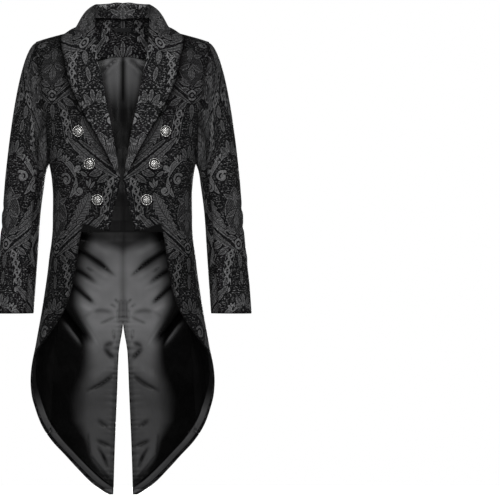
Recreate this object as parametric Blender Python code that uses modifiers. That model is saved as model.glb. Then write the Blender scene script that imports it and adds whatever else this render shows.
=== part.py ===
"""Steampunk tailcoat with a shawl collar, a cut-away front and two long tails.

The coat is hollow and keeps the shape that it has when worn. Its cloth is lofted as thin walls over
one torso form and two sleeve forms, which are worked out from the section tables below. +X is the
wearer's left, -Y the front and +Z up. The origin is at the middle of the neck, level with the
shoulders, where the wearer holds the coat up. All sizes are in metres.

Places on the torso form have two coordinates: turn runs from 0 at centre back through 0.5 at the
side to 1 at centre front (minus on the wearer's right), and fall is the distance down from the
ridge of the shoulders.
"""

import math

import bmesh
import bpy
import numpy as np
from mathutils import Vector

# Cloth
CLOTH = 0.0014
LINING = 0.0010
FACING = 0.0010
LAPEL = 0.0022
VELVET = 0.0020
LABEL = 0.0007
SEAM = 0.0003
LINING_LIFT = 0.0008
LINING_INSET = 0.0030
VENT_INSET = 0.0010
NECK_LIFT = 0.0025
OVERLAY_LIFT = 0.0008
COLLAR_LIFT = 0.0014

# Torso form
ROUND_OVER = 0.130
SLOPE_REACH = 0.180
UNDERARM_FALL = 0.309
SIDE_TOP_FALL = 0.215
YOKE_FALL = 0.0937
POINT_FALL = 0.4538
WAIST_FALL = 0.472
TAIL_FRONT_FALL = 0.770
SIDE_END_FALL = 0.948
LINING_END_FALL = 1.081
TIP_FALL = 1.0945
POINT_DROP = 0.0167
SIDE_TURN = 0.5
GIRTH_OF_TURN = 0.55

# Torso sections: fall, half width, depth in front, depth behind, squareness of the ring
SECTIONS = (
    (0.000, 0.225, 0.100, 0.106, 2.4),
    (0.055, 0.217, 0.102, 0.106, 2.6),
    (0.110, 0.206, 0.106, 0.107, 2.8),
    (0.185, 0.196, 0.116, 0.111, 2.8),
    (0.250, 0.1865, 0.122, 0.110, 2.65),
    (0.309, 0.1735, 0.122, 0.104, 2.5),
    (0.350, 0.1665, 0.117, 0.097, 2.4),
    (0.390, 0.164, 0.110, 0.090, 2.4),
    (0.4538, 0.1645, 0.104, 0.087, 2.4),
    (0.550, 0.1745, 0.112, 0.107, 2.4),
    (0.650, 0.189, 0.119, 0.126, 2.4),
    (0.729, 0.203, 0.121, 0.134, 2.4),
    (0.835, 0.2205, 0.122, 0.139, 2.4),
    (1.100, 0.2215, 0.122, 0.149, 2.4),
)
# Height of the shoulder ridge: distance from the middle, height
SHOULDER_RIDGE = (
    (0.000, 0.061),
    (0.012, 0.0605),
    (0.040, 0.052),
    (0.060, 0.042),
    (0.078, 0.031),
    (0.095, 0.0175),
    (0.120, 0.001),
    (0.147, -0.0065),
    (0.183, -0.0165),
    (0.211, -0.026),
    (0.225, -0.032),
)
# Soft flutes of the tails: turn, width in turn, depth
FLUTES = (
    (0.090, 0.050, 0.0030),
    (0.200, 0.050, -0.0030),
    (0.310, 0.050, 0.0030),
)
FLUTES_FROM_FALL = 0.55
FLUTES_FULL_FALL = 1.00

# Back neck seam: fall, distance from the middle
BACK_NECK = ((0.0, 0.078), (0.0023, 0.073), (0.0099, 0.058), (0.0202, 0.034), (0.0273, 0.00015))
# Front edge: fall, distance from the middle
FRONT_EDGE = (
    (0.000, 0.0780),
    (0.010, 0.0755),
    (0.041, 0.0680),
    (0.0637, 0.0635),
    (0.0937, 0.0550),
    (0.130, 0.0445),
    (0.2195, 0.0265),
    (0.3257, 0.0075),
    (0.349, 0.0035),
    (0.385, 0.0105),
    (0.4538, 0.0262),
    (0.4705, 0.0288),
)
# Armhole: fall, turn of its front, turn of its back
ARMHOLE = (
    (0.000, 0.648, 0.352),
    (0.050, 0.641, 0.356),
    (0.109, 0.631, 0.366),
    (0.188, 0.631, 0.380),
    (0.250, 0.613, 0.395),
    (0.280, 0.596, 0.412),
    (0.297, 0.566, 0.440),
    (0.309, 0.5015, 0.4985),
)
# Side-back seam: fall, distance from the middle
SIDE_BACK_SEAM = (
    (0.215, 0.1790),
    (0.250, 0.1630),
    (0.309, 0.1440),
    (0.360, 0.1320),
    (0.405, 0.1275),
    (0.500, 0.1335),
    (0.585, 0.1437),
    (0.700, 0.1580),
    (0.853, 0.1720),
    (0.948, 0.1770),
)
# Cut edge of the tail, from the cut-away point to the tip: fall, turn
TAIL_EDGE = (
    (0.4538, 0.834),
    (0.500, 0.815),
    (0.550, 0.811),
    (0.600, 0.798),
    (0.650, 0.770),
    (0.694, 0.716),
    (0.729, 0.641),
    (0.770, 0.505),
    (0.810, 0.462),
    (0.853, 0.430),
    (0.890, 0.3755),
    (0.930, 0.313),
    (0.970, 0.2513),
    (1.010, 0.1787),
    (1.040, 0.1274),
    (1.065, 0.0886),
    (1.081, 0.0602),
    (1.0945, 0.0330),
)
# Inner edge of the tail at the open vent: fall, distance from the middle
VENT = (
    (0.600, 0.00015),
    (0.694, 0.0008),
    (0.760, 0.0104),
    (0.853, 0.0142),
    (0.986, 0.0198),
    (1.0945, 0.0230),
)

# Rows of the cloth grids: shares of the round-over, then falls
ROUND_ROWS = (0.0012, 0.12, 0.25, 0.36, 0.42, 0.55, 0.68, 0.8213, 1.0)
FALL_ROWS = (
    0.170, 0.215, 0.250, 0.280, 0.297, 0.309, 0.345, 0.385, 0.420, 0.4538, 0.472, 0.510, 0.550,
    0.600, 0.650, 0.694, 0.729, 0.752, 0.770, 0.810, 0.853, 0.890, 0.920, 0.948, 0.980, 1.010, 1.040, 1.065,
    1.081, 1.0945,
)
BACK_COLUMNS = 8
SIDE_COLUMNS = 4
FRONT_INNER_COLUMNS = 4
FRONT_OUTER_COLUMNS = 6
FRONT_SPLIT_TOP = 0.45

# Sleeves: fall, centre across, centre fore and aft, half width, half depth
SLEEVE = (
    (0.349, 0.2300, 0.000, 0.0472, 0.058),
    (0.430, 0.2385, 0.004, 0.0452, 0.054),
    (0.520, 0.2455, 0.002, 0.0462, 0.052),
    (0.600, 0.2525, -0.012, 0.0478, 0.051),
    (0.664, 0.2570, -0.024, 0.0480, 0.050),
)
SLEEVE_RINGS = (0.349, 0.430, 0.500, 0.560, 0.610, 0.664)
SLEEVE_HEAD_STEPS = (0.0, 0.14, 0.30, 0.50, 0.75)
SLEEVE_HEAD_REACH = 0.034
ARMHOLE_SEAM = 0.0005
SLEEVE_AXIS = Vector((0.10, 0.0, -0.995)).normalized()
HEAD_LEAVES = ((0.25, 0.0, -1.0), (1.0, 0.0, -0.32))
FRONT_SEAM_COLUMN = 10
BACK_SEAM_COLUMN = 21

# Shawl collar from centre back to the hook: foot and outer edge, each as distance from the middle
# and signed fall (minus behind the shoulder ridge), then how the roll stands off the foot
COLLAR = (
    # foot x, foot fall, edge x, edge fall, roll dx, roll dy, roll dz
    (0.0004, -0.0273, 0.0004, -0.0350, 0.000, 0.012, 0.038),
    (0.0340, -0.0202, 0.0450, -0.0300, -0.002, 0.012, 0.037),
    (0.0600, -0.0085, 0.0920, -0.0100, -0.006, 0.009, 0.033),
    (0.0775, 0.0008, 0.1280, 0.0025, -0.013, 0.000, 0.028),
    (0.0735, 0.0180, 0.1430, 0.0120, -0.009, -0.004, 0.018),
    (0.0680, 0.0410, 0.1410, 0.0350, -0.005, -0.006, 0.009),
    (0.0625, 0.0680, 0.1345, 0.0620, -0.002, -0.006, 0.003),
    (0.0545, 0.0965, 0.1290, 0.0980, 0.000, -0.005, 0.000),
    (0.0445, 0.1310, 0.1140, 0.1430, 0.000, -0.005, 0.000),
    (0.0315, 0.1900, 0.0835, 0.2030, 0.000, -0.005, 0.000),
    (0.0195, 0.2500, 0.0529, 0.2550, 0.000, -0.004, 0.000),
    (0.0075, 0.3230, 0.0130, 0.3290, 0.000, -0.002, 0.000),
)
COLLAR_STATIONS = 23
COLLAR_COLUMNS = 6
COLLAR_CROWN = 0.0025
STAND_LAST_ROW = 5
STAND_STATIONS = 10
STAND_COLUMNS = 3
STAND_SHARE = 0.86

# Half belt: distance from the middle, fall of its top edge, fall of its bottom edge
HALF_BELT = (
    (0.000, 0.3889, 0.4406),
    (0.050, 0.3860, 0.4420),
    (0.085, 0.3790, 0.4435),
    (0.1017, 0.3762, 0.4437),
    (0.1170, 0.3900, 0.4260),
    (0.1274, 0.4035, 0.4070),
)
BELT_COLUMNS = 20
BELT_ROWS = 3

# Neck facing and label
NECK_FACING_HALF = 0.100
NECK_FACING_COLUMNS = 14
NECK_FACING_ROWS = 3
LABEL_HALF = 0.020
LABEL_FALLS = (0.0400, 0.0470)

# Drag folds of the tail lining: start across and down, end across and down, height, half width
DRAG_FOLDS = (
    (0.104, 0.490, 0.016, 0.556, 0.0060, 0.0120),
    (0.120, 0.545, 0.044, 0.592, 0.0050, 0.0110),
)
HEM_FACING = 0.0080
HEM_INSET = HEM_FACING + 3 * SEAM
LINING_REFINE = 2
LAST_ROW_SHARE = 0.70
ROW_OF_SEAM = 0.008
FRONT_LINING_FALL = 0.0637

# Buttons: outer radius, height
FRONT_BUTTON = (0.0130, 0.0062)
BELT_BUTTON = (0.0110, 0.0056)
CUFF_BUTTON = (0.0070, 0.0040)
FRONT_BUTTON_PLACES = ((0.1020, 0.2351), (0.0755, 0.3115), (0.0573, 0.3958))
BELT_BUTTON_PLACE = (0.0947, 0.4122)
CUFF_BUTTON_FALLS = (0.5785, 0.6040, 0.6300)
CUFF_BUTTON_ANGLE = math.radians(305)
BUTTON_LIFT = 0.0004
FRONT_BUTTON_SIDES = 12
CUFF_BUTTON_SIDES = 8

SIDES = ((1, "left"), (-1, "right"))
COLLECTION = "steampunk_tailcoat"


# ---------------------------------------------------------------- curves and forms


def smooth(at, rows, column):
    """Reads one column of a table at the given places, on a smooth curve through its rows.

    The curve doesn't overshoot: its slope at a row is the harmonic mean of the slopes on both sides.
    """
    knots = np.array([row[0] for row in rows])
    values = np.array([row[column] for row in rows])
    steps = np.diff(values) / np.diff(knots)
    rising = steps[:-1] * steps[1:] > 0
    both = np.where(rising, steps[:-1] + steps[1:], 1.0)
    middle = np.where(rising, 2 * steps[:-1] * steps[1:] / both, 0.0)
    slopes = np.concatenate([steps[:1], middle, steps[-1:]])
    at = np.clip(np.asarray(at, float), knots[0], knots[-1])
    lower = np.clip(np.searchsorted(knots, at, side="right") - 1, 0, len(knots) - 2)
    span = knots[lower + 1] - knots[lower]
    t = (at - knots[lower]) / span
    start = (2 * t**3 - 3 * t**2 + 1) * values[lower] + (t**3 - 2 * t**2 + t) * span * slopes[lower]
    end = (3 * t**2 - 2 * t**3) * values[lower + 1] + (t**3 - t**2) * span * slopes[lower + 1]
    return start + end


def ease(t):
    """Rises smoothly from 0 to 1 as t does."""
    t = np.clip(t, 0.0, 1.0)
    return t * t * (3 - 2 * t)


def signed_power(value, power):
    return np.sign(value) * np.abs(value) ** power


def fall_of(row):
    """Distance down of a row: the rows from 0 to 1 run over the round of the shoulder."""
    row = np.asarray(row, float)
    round_part = ROUND_OVER * (1 - np.cos(np.minimum(row, 1.0) * math.pi / 2))
    return round_part + np.maximum(row - 1.0, 0.0) * ROUND_OVER * math.pi / 2


def row_of(fall):
    """The row at a distance down."""
    fall = np.asarray(fall, float)
    round_part = np.arccos(1 - np.minimum(fall, ROUND_OVER) / ROUND_OVER) / (math.pi / 2)
    return round_part + np.maximum(fall - ROUND_OVER, 0.0) / (ROUND_OVER * math.pi / 2)


def torso(turn, row):
    """Outer face of the cloth on the torso form."""
    turn, row = np.broadcast_arrays(np.asarray(turn, float), np.asarray(row, float))
    fall = fall_of(row)
    squareness = smooth(fall, SECTIONS, 4)
    across = np.sin(math.pi * turn)
    aft = np.cos(math.pi * turn)
    depth = np.where(aft > 0, smooth(fall, SECTIONS, 3), smooth(fall, SECTIONS, 2))
    x = smooth(fall, SECTIONS, 1) * signed_power(across, 2 / squareness)
    y = depth * np.sin(np.minimum(row, 1.0) * math.pi / 2) * signed_power(aft, 2 / squareness)
    fullness = ease((fall - FLUTES_FROM_FALL) / (FLUTES_FULL_FALL - FLUTES_FROM_FALL))
    flute = sum(d * np.exp(-(((np.abs(turn) - c) / w) ** 2)) for c, w, d in FLUTES)
    swell = 1 + fullness * flute / np.maximum(np.hypot(x, y), 0.05)
    rise = smooth(np.abs(x), SHOULDER_RIDGE, 1) * ease(1 - fall / SLOPE_REACH)
    return np.stack([x * swell, y * swell, rise - fall], axis=-1)


def crossed(along, down):
    """Unit normals from two sets of tangents."""
    normal = np.cross(along, down)
    return normal / np.linalg.norm(normal, axis=-1, keepdims=True)


def torso_normal(turn, row):
    """Outward normals of the torso form."""
    step = 1e-4
    along = torso(turn + step, row) - torso(turn - step, row)
    down = torso(turn, row + step) - torso(turn, row - step)
    return crossed(along, down)


def turn_at(x, row, front):
    """The turn of the point at a distance from the middle, in front or behind."""
    fall = fall_of(row)
    share = np.clip(np.abs(x) / smooth(fall, SECTIONS, 1), 0.0, 1.0)
    turn = np.arcsin(share ** (smooth(fall, SECTIONS, 4) / 2)) / math.pi
    return np.sign(x) * np.where(front, 1 - turn, turn)


def over_shoulder(x, signed_row):
    """Torso point from its distance across and a row that is negative behind the ridge."""
    turn = turn_at(x, np.abs(signed_row), signed_row >= 0)
    return torso(turn, np.abs(signed_row))


def over_shoulder_normal(x, signed_row):
    step = 1e-4
    across = over_shoulder(x + step, signed_row) - over_shoulder(x - step, signed_row)
    fore = over_shoulder(x, signed_row + step) - over_shoulder(x, signed_row - step)
    return crossed(fore, across)


def grid_normals(points, wraps=False):
    """Normals of a grid of points, from its neighbouring rows and columns."""
    down = np.gradient(points, axis=0)
    if wraps:
        along = np.roll(points, -1, axis=1) - np.roll(points, 1, axis=1)
    else:
        along = np.gradient(points, axis=1)
    return crossed(along, down)


ROWS = np.concatenate([ROUND_ROWS, row_of(np.array(FALL_ROWS))])


def rows_between(first_fall, last_fall):
    """The rows of the cloth grids from one distance down to another."""
    falls = fall_of(ROWS)
    slack = 1e-4
    return ROWS[(falls >= first_fall - slack) & (falls <= last_fall + slack)]


def spread(start, end, columns):
    """Evenly spaced values from start to end, a row for each pair."""
    share = np.linspace(0.0, 1.0, columns + 1)[None, :]
    return start[:, None] * (1 - share) + end[:, None] * share


# ---------------------------------------------------------------- meshes


def material(name, colour, roughness, metallic=0.0):
    made = bpy.data.materials.new(name)
    made.use_nodes = True
    shader = made.node_tree.nodes["Principled BSDF"]
    shader.inputs["Base Color"].default_value = (*colour, 1.0)
    shader.inputs["Roughness"].default_value = roughness
    shader.inputs["Metallic"].default_value = metallic
    return made


def add_object(name, mesh, made_of):
    placed = bpy.data.objects.new(name, mesh)
    colour, roughness, metallic = made_of
    mesh.materials.clear()
    mesh.materials.append(material(name, colour, roughness, metallic))
    bpy.data.collections[COLLECTION].objects.link(placed)
    return placed


def boundary_edges(faces):
    """Directed edges that only one face has."""
    edges = {(face[k], face[(k + 1) % 4]) for face in faces for k in range(4)}
    return [(a, b) for a, b in edges if (b, a) not in edges]


def cloth_wall(name, outer, inner, made_of, kept=None):
    """Closed wall between two grids of points, with a rim along its open edges.

    kept is a grid of flags, one for each cell, and leaves out the cells that are cut away.
    """
    rows, columns = outer.shape[:2]
    count = rows * columns
    cells = [
        (i, j) for i in range(rows - 1) for j in range(columns - 1) if kept is None or kept[i][j]
    ]
    faces = []
    for i, j in cells:
        corner = i * columns + j
        faces.append((corner, corner + 1, corner + columns + 1, corner + columns))
    rim = [(b, a, a + count, b + count) for a, b in sorted(boundary_edges(faces))]
    lining_side = [tuple(index + count for index in reversed(face)) for face in faces]
    mesh = bpy.data.meshes.new(name)
    points = np.concatenate([outer.reshape(-1, 3), inner.reshape(-1, 3)])
    mesh.from_pydata([tuple(point) for point in points], [], faces + lining_side + rim)
    tidy = bmesh.new()
    tidy.from_mesh(mesh)
    loose = [vertex for vertex in tidy.verts if not vertex.link_faces]
    bmesh.ops.delete(tidy, geom=loose, context="VERTS")
    bmesh.ops.triangulate(tidy, faces=tidy.faces[:])
    if tidy.calc_volume(signed=True) < 0:
        bmesh.ops.reverse_faces(tidy, faces=tidy.faces[:])
    tidy.to_mesh(mesh)
    tidy.free()
    mesh.shade_smooth()
    mesh.set_sharp_from_angle(angle=math.radians(40))
    return add_object(name, mesh, made_of)


def torso_wall(name, turn, row, lift, thickness, made_of, kept=None):
    """Wall on the torso form: its outer face is lift outside the form, thickness is inwards."""
    points = torso(turn, row)
    normals = torso_normal(turn, row)
    outer = points + normals * lift
    inner = points + normals * (lift - thickness)
    return cloth_wall(name, outer, inner, made_of, kept)


# ---------------------------------------------------------------- seams


def in_turn(distance):
    """The turn that a distance round the torso takes."""
    return distance / GIRTH_OF_TURN


def armhole_turn(row, column):
    return smooth(fall_of(row), ARMHOLE, column)


def front_edge_turn(row):
    return turn_at(smooth(fall_of(row), FRONT_EDGE, 1), row, True)


def tail_edge_turn(row):
    return smooth(fall_of(row), TAIL_EDGE, 1)


def side_back_turn(row):
    return turn_at(smooth(fall_of(row), SIDE_BACK_SEAM, 1), row, False)


def centre_back_turn(row):
    """Inner edge of the back: the neck, then the centre-back seam, then the open vent."""
    fall = fall_of(row)
    neck = smooth(fall, BACK_NECK, 1)
    vent = smooth(fall, VENT, 1)
    return turn_at(np.where(fall < VENT[0][0], neck, vent), row, False)


def back_outer_turn(row):
    """Outer edge of the back: the armhole, then the side-back seam, then the hem."""
    fall = fall_of(row)
    upper = np.where(fall < SIDE_TOP_FALL - 1e-4, armhole_turn(row, 2), side_back_turn(row))
    return np.where(fall > SIDE_END_FALL + 1e-4, tail_edge_turn(row), upper)


def side_outer_turn(row):
    """Front edge of the side body: the armhole, then the side seam, then the hem."""
    fall = fall_of(row)
    upper = np.where(fall < UNDERARM_FALL + 1e-4, armhole_turn(row, 2), SIDE_TURN)
    return np.where(fall > TAIL_FRONT_FALL + 1e-4, tail_edge_turn(row), upper)


def front_outer_turn(row):
    """Outer edge of the front: the armhole, then the side seam."""
    fall = fall_of(row)
    return np.where(fall < UNDERARM_FALL + 1e-4, armhole_turn(row, 1), SIDE_TURN)


# ---------------------------------------------------------------- body of the coat


def front_grid():
    """Turns, rows and kept cells of a front: the cells below the cut-away point are left out."""
    row = rows_between(0.0, TAIL_FRONT_FALL)
    fall = fall_of(row)
    inner = front_edge_turn(np.minimum(row, row_of(POINT_FALL)))
    outer = front_outer_turn(row) + in_turn(SEAM / 2)
    point_share = (inner[-1] - TAIL_EDGE[0][1]) / (inner[-1] - SIDE_TURN)
    share = FRONT_SPLIT_TOP + (point_share - FRONT_SPLIT_TOP) * ease(fall / POINT_FALL)
    split = inner + (outer - inner) * share
    split = np.where(fall > POINT_FALL - 1e-4, tail_edge_turn(row), split)
    turn = np.concatenate(
        [spread(inner, split, FRONT_INNER_COLUMNS), spread(split, outer, FRONT_OUTER_COLUMNS)[:, 1:]],
        axis=1,
    )
    below = fall > POINT_FALL - 1e-4
    level = np.repeat(row[:, None], turn.shape[1], axis=1)
    cut = int(np.argmax(below))
    along = np.linspace(0.0, 1.0, FRONT_INNER_COLUMNS + 1)
    dip = POINT_DROP * 0.5 * (1 + np.cos(math.pi * along))
    level[cut, : FRONT_INNER_COLUMNS + 1] = row_of(POINT_FALL + dip)
    cells = len(row) - 1
    kept = np.ones((cells, turn.shape[1] - 1), bool)
    kept[cut:, :FRONT_INNER_COLUMNS] = False
    return turn, level, kept


def side_grid():
    row = rows_between(SIDE_TOP_FALL, SIDE_END_FALL)
    seam = in_turn(SEAM / 2)
    turn = spread(side_back_turn(row) + seam, side_outer_turn(row) - seam, SIDE_COLUMNS)
    return turn, np.repeat(row[:, None], turn.shape[1], axis=1)


def back_grid():
    row = rows_between(0.0, TIP_FALL)
    seam = in_turn(SEAM / 2)
    turn = spread(centre_back_turn(row), back_outer_turn(row) - seam, BACK_COLUMNS)
    return turn, np.repeat(row[:, None], turn.shape[1], axis=1)


def build_body():
    """Backs, side bodies and fronts of the outer cloth."""
    for side, word in SIDES:
        turn, row, kept = front_grid()
        torso_wall(f"front_{word}", side * turn, row, 0.0, CLOTH, BROCADE, kept)
        turn, row = side_grid()
        torso_wall(f"side_{word}", side * turn, row, 0.0, CLOTH, BROCADE)
        turn, row = back_grid()
        torso_wall(f"back_{word}", side * turn, row, 0.0, CLOTH, BROCADE)


# ---------------------------------------------------------------- linings and facings


def fold_height(x, fall):
    """How far the drag folds of the tail lining stand off the tail."""
    height = np.zeros_like(x)
    for x0, f0, x1, f1, tall, half_width in DRAG_FOLDS:
        length = math.hypot(x1 - x0, f1 - f0)
        along = ((x - x0) * (x1 - x0) + (fall - f0) * (f1 - f0)) / length**2
        off = ((x - x0) * (f1 - f0) - (fall - f0) * (x1 - x0)) / length
        ends = ease(1 - np.abs(2 * np.clip(along, 0, 1) - 1)) * ((along > 0) & (along < 1))
        height = height + tall * ends * np.exp(-((off / half_width) ** 2))
    return height


def more_rows(grid, steps):
    """Adds rows to a grid on the straight lines between its own."""
    rows = np.linspace(0, len(grid) - 1, (len(grid) - 1) * steps + 1)
    above = np.minimum(rows.astype(int), len(grid) - 2)
    share = (rows - above)[:, None, None]
    return grid[above] * (1 - share) + grid[above + 1] * share


def shorten(grid):
    """Draws the last row of a grid back towards the row above it, before the hem closes over it."""
    grid[-1] = grid[-2] + (grid[-1] - grid[-2]) * LAST_ROW_SHARE
    return grid


def front_lining(side, word):
    """Lining of a front, inside its front edge and its hem facing."""
    turn, row, kept = front_grid()
    fall = fall_of(row[:, -1:])
    split = FRONT_INNER_COLUMNS
    turn[:, :split] -= in_turn(LINING_INSET)
    share = np.linspace(1.0, 0.0, turn.shape[1] - split)
    turn[:, split:] -= in_turn(np.where(fall > POINT_FALL - 1e-4, HEM_INSET, 0.0)) * share
    row[:, : split + 1] -= (fall_of(row[:, : split + 1]) > fall + 1e-4) * row_of(LINING_INSET)
    first = int(np.argmax(fall[:, 0] >= FRONT_LINING_FALL - 1e-4))
    turn, row, kept = turn[first:-1, ::2], row[first:-1, ::2], kept[first:-1, ::2]
    lift = -CLOTH - LINING_LIFT
    torso_wall(f"front_lining_{word}", side * turn, row, lift, LINING, SATIN, kept)


def side_lining(side, word):
    """Lining of a side body, down to its hem facing."""
    turn, row = side_grid()
    hem = np.where(fall_of(row) > TAIL_FRONT_FALL - 1e-4, HEM_INSET, 0.0)
    turn -= in_turn(hem) * np.linspace(0.0, 1.0, turn.shape[1])
    turn, row = shorten(turn[:, ::2]), shorten(row[:, ::2])
    torso_wall(f"side_lining_{word}", side * turn, row, -CLOTH - LINING_LIFT, LINING, SATIN)


def back_lining(side, word):
    row = rows_between(YOKE_FALL, WAIST_FALL)
    inner = turn_at(np.full_like(row, SEAM), row, False)
    turn = spread(inner, back_outer_turn(row) - in_turn(SEAM), BACK_COLUMNS // 2)
    level = np.repeat(row[:, None], turn.shape[1], axis=1)
    level[0] += ROW_OF_SEAM
    level[-1] -= ROW_OF_SEAM
    torso_wall(f"back_lining_{word}", side * turn, level, -CLOTH - LINING_LIFT, LINING, SATIN)


def tail_lining(side, word):
    """Lining of a tail inside the back, with the drag folds that hang from the waist."""
    row = rows_between(WAIST_FALL, LINING_END_FALL)
    fall = fall_of(row)
    hem = np.where(fall > SIDE_END_FALL - 1e-4, HEM_INSET, SEAM)
    outer = np.where(fall > SIDE_END_FALL - 1e-4, tail_edge_turn(row), side_back_turn(row))
    inner = centre_back_turn(row) + in_turn(VENT_INSET)
    turn = spread(inner, outer - in_turn(hem), BACK_COLUMNS)
    level = np.repeat(row[:, None], turn.shape[1], axis=1)
    points = more_rows(torso(side * turn, level), LINING_REFINE)
    normals = more_rows(torso_normal(side * turn, level), LINING_REFINE)
    folds = fold_height(np.abs(points[..., 0]), -points[..., 2])
    outer_lift = (-CLOTH - LINING_LIFT - folds)[..., None]
    outer_face = points + normals * outer_lift
    inner_face = points + normals * (outer_lift - LINING)
    cloth_wall(f"tail_lining_{word}", outer_face, inner_face, SATIN)


def hem_facing(side, word):
    """Turned-in edge of the outer cloth along the cut edge of the tail."""
    row = rows_between(WAIST_FALL, TIP_FALL)
    edge = tail_edge_turn(row) - in_turn(SEAM)
    inner = np.maximum(edge - in_turn(HEM_FACING), centre_back_turn(row) + in_turn(VENT_INSET))
    turn = spread(inner, edge, 1)
    level = np.repeat(row[:, None], 2, axis=1)
    level[0] += ROW_OF_SEAM
    torso_wall(f"hem_facing_{word}", side * turn, level, -CLOTH - LINING_LIFT, FACING, BROCADE)


def neck_rows(x):
    """Row of the back neck seam, or of the shoulder seam past it."""
    falls = np.interp(np.abs(x), [r[1] for r in reversed(BACK_NECK)], [r[0] for r in reversed(BACK_NECK)])
    return np.maximum(row_of(falls), 0.02)


def neck_facing_grid(half, top_rows, bottom_row, columns, rows):
    x = np.linspace(-half, half, columns + 1)[None, :].repeat(rows + 1, axis=0)
    share = np.linspace(0.0, 1.0, rows + 1)[:, None]
    return x, -(top_rows(x) * (1 - share) + bottom_row * share)


def inside_wall(name, x, signed_row, lift, thickness, made_of):
    """Wall inside the back of the neck, lift inside the torso form."""
    points = over_shoulder(x, signed_row)
    normals = over_shoulder_normal(x, signed_row)
    cloth_wall(name, points - normals * lift, points - normals * (lift + thickness), made_of)


def build_linings():
    """Linings, facings and the blank label: only where the inside of the coat shows."""
    for side, word in SIDES:
        front_lining(side, word)
        side_lining(side, word)
        back_lining(side, word)
        tail_lining(side, word)
        hem_facing(side, word)
    bottom = row_of(YOKE_FALL) - ROW_OF_SEAM
    x, level = neck_facing_grid(
        NECK_FACING_HALF, neck_rows, bottom, NECK_FACING_COLUMNS, NECK_FACING_ROWS
    )
    inside_wall("neck_facing", x, level, CLOTH + NECK_LIFT, FACING, BROCADE)
    top, low = row_of(np.array(LABEL_FALLS))
    x, level = neck_facing_grid(LABEL_HALF, lambda at: np.full_like(at, top), low, 4, 1)
    lift = CLOTH + NECK_LIFT + FACING + OVERLAY_LIFT
    inside_wall("neck_label", x, level, lift, LABEL, VELVETEEN)


# ---------------------------------------------------------------- sleeves


def armhole_loop():
    """Round the armhole from the shoulder tip down its front and up its back: turn, row."""
    row = rows_between(0.0, UNDERARM_FALL)
    down_front = [(float(armhole_turn(r, 1)), float(r)) for r in row]
    up_back = [(float(armhole_turn(r, 2)), float(r)) for r in row[1:-1][::-1]]
    return np.array(down_front + up_back)


def sleeve_start(loop):
    """First ring of the sleeve, a seam's width off the edge of the armhole."""
    turn, row = loop[:, 0], loop[:, 1]
    points = torso(turn, row)
    points[0, 1] = 0.0
    step = 1e-4
    round_the_body = torso(turn + step, row) - torso(turn - step, row)
    away = round_the_body * np.sign(SIDE_TURN - turn)[:, None]
    away[0] = (1.0, 0.0, -0.3)
    lowest = int(np.argmax(row))
    away[lowest] = (0.1, 0.0, 1.0)
    away = away / np.linalg.norm(away, axis=1, keepdims=True)
    normals = torso_normal(turn, row)
    return points + (away + normals) * ARMHOLE_SEAM


def sleeve_ring(fall, count):
    """Ring of the sleeve at a distance down, from its outer side round its front."""
    angle = 2 * math.pi * np.arange(count) / count
    x = smooth(fall, SLEEVE, 1) + smooth(fall, SLEEVE, 3) * np.cos(angle)
    y = smooth(fall, SLEEVE, 2) - smooth(fall, SLEEVE, 4) * np.sin(angle)
    return np.stack([x, y, np.full(count, -fall)], axis=1)


def sleeve_form():
    """Rings of a left sleeve from the armhole to the cuff."""
    loop = armhole_loop()
    start = sleeve_start(loop)
    count = len(start)
    first_ring = sleeve_ring(SLEEVE_RINGS[0], count)
    span = np.linalg.norm(first_ring - start, axis=1, keepdims=True)
    height = (start[:, 2:] - start[:, 2].min()) / (start[:, 2].max() - start[:, 2].min())
    low, high = (np.array(direction) for direction in HEAD_LEAVES)
    leaves = low + (high - low) * height**0.6
    leaves = leaves / np.linalg.norm(leaves, axis=1, keepdims=True)
    out = start + leaves * np.minimum(SLEEVE_HEAD_REACH, 0.3 * span)
    into = first_ring - np.array(SLEEVE_AXIS) * 0.45 * span
    rings = []
    for t in SLEEVE_HEAD_STEPS:
        near = start * (1 - t) ** 3 + out * 3 * t * (1 - t) ** 2
        far = into * 3 * t**2 * (1 - t) + first_ring * t**3
        rings.append(near + far)
    rings += [sleeve_ring(fall, count) for fall in SLEEVE_RINGS]
    return np.array(rings)


def build_sleeves():
    """Upper and under sleeves, which meet at a front seam and at a back seam over the cuff vent."""
    form = sleeve_form()
    count = form.shape[1]
    normals = -grid_normals(form, wraps=True)
    outward = np.sign(np.sum(normals[-1] * (form[-1] - form[-1].mean(axis=0)), axis=-1).mean())
    normals = normals * outward
    loop = armhole_loop()
    body = torso_normal(loop[:, 0], loop[:, 1])
    level = np.clip(np.sum(normals[0] * body, axis=1, keepdims=True), 0.0, 1.0)
    normals[0] = normals[0] * (1 - level) + body * level
    upper = np.arange(BACK_SEAM_COLUMN, count + FRONT_SEAM_COLUMN + 1) % count
    under = np.arange(FRONT_SEAM_COLUMN, BACK_SEAM_COLUMN + 1)
    for side, word in SIDES:
        mirror = np.array([side, 1, 1])
        for name, columns in (("upper_sleeve", upper), ("under_sleeve", under)):
            outer = form[:, columns].copy()
            first = outer[:, 1] - outer[:, 0]
            last = outer[:, -2] - outer[:, -1]
            outer[:, 0] += first / np.linalg.norm(first, axis=-1, keepdims=True) * SEAM / 2
            outer[:, -1] += last / np.linalg.norm(last, axis=-1, keepdims=True) * SEAM / 2
            inner = outer - normals[:, columns] * CLOTH
            cloth_wall(f"{name}_{word}", outer * mirror, inner * mirror, BROCADE)


# ---------------------------------------------------------------- collar


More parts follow.
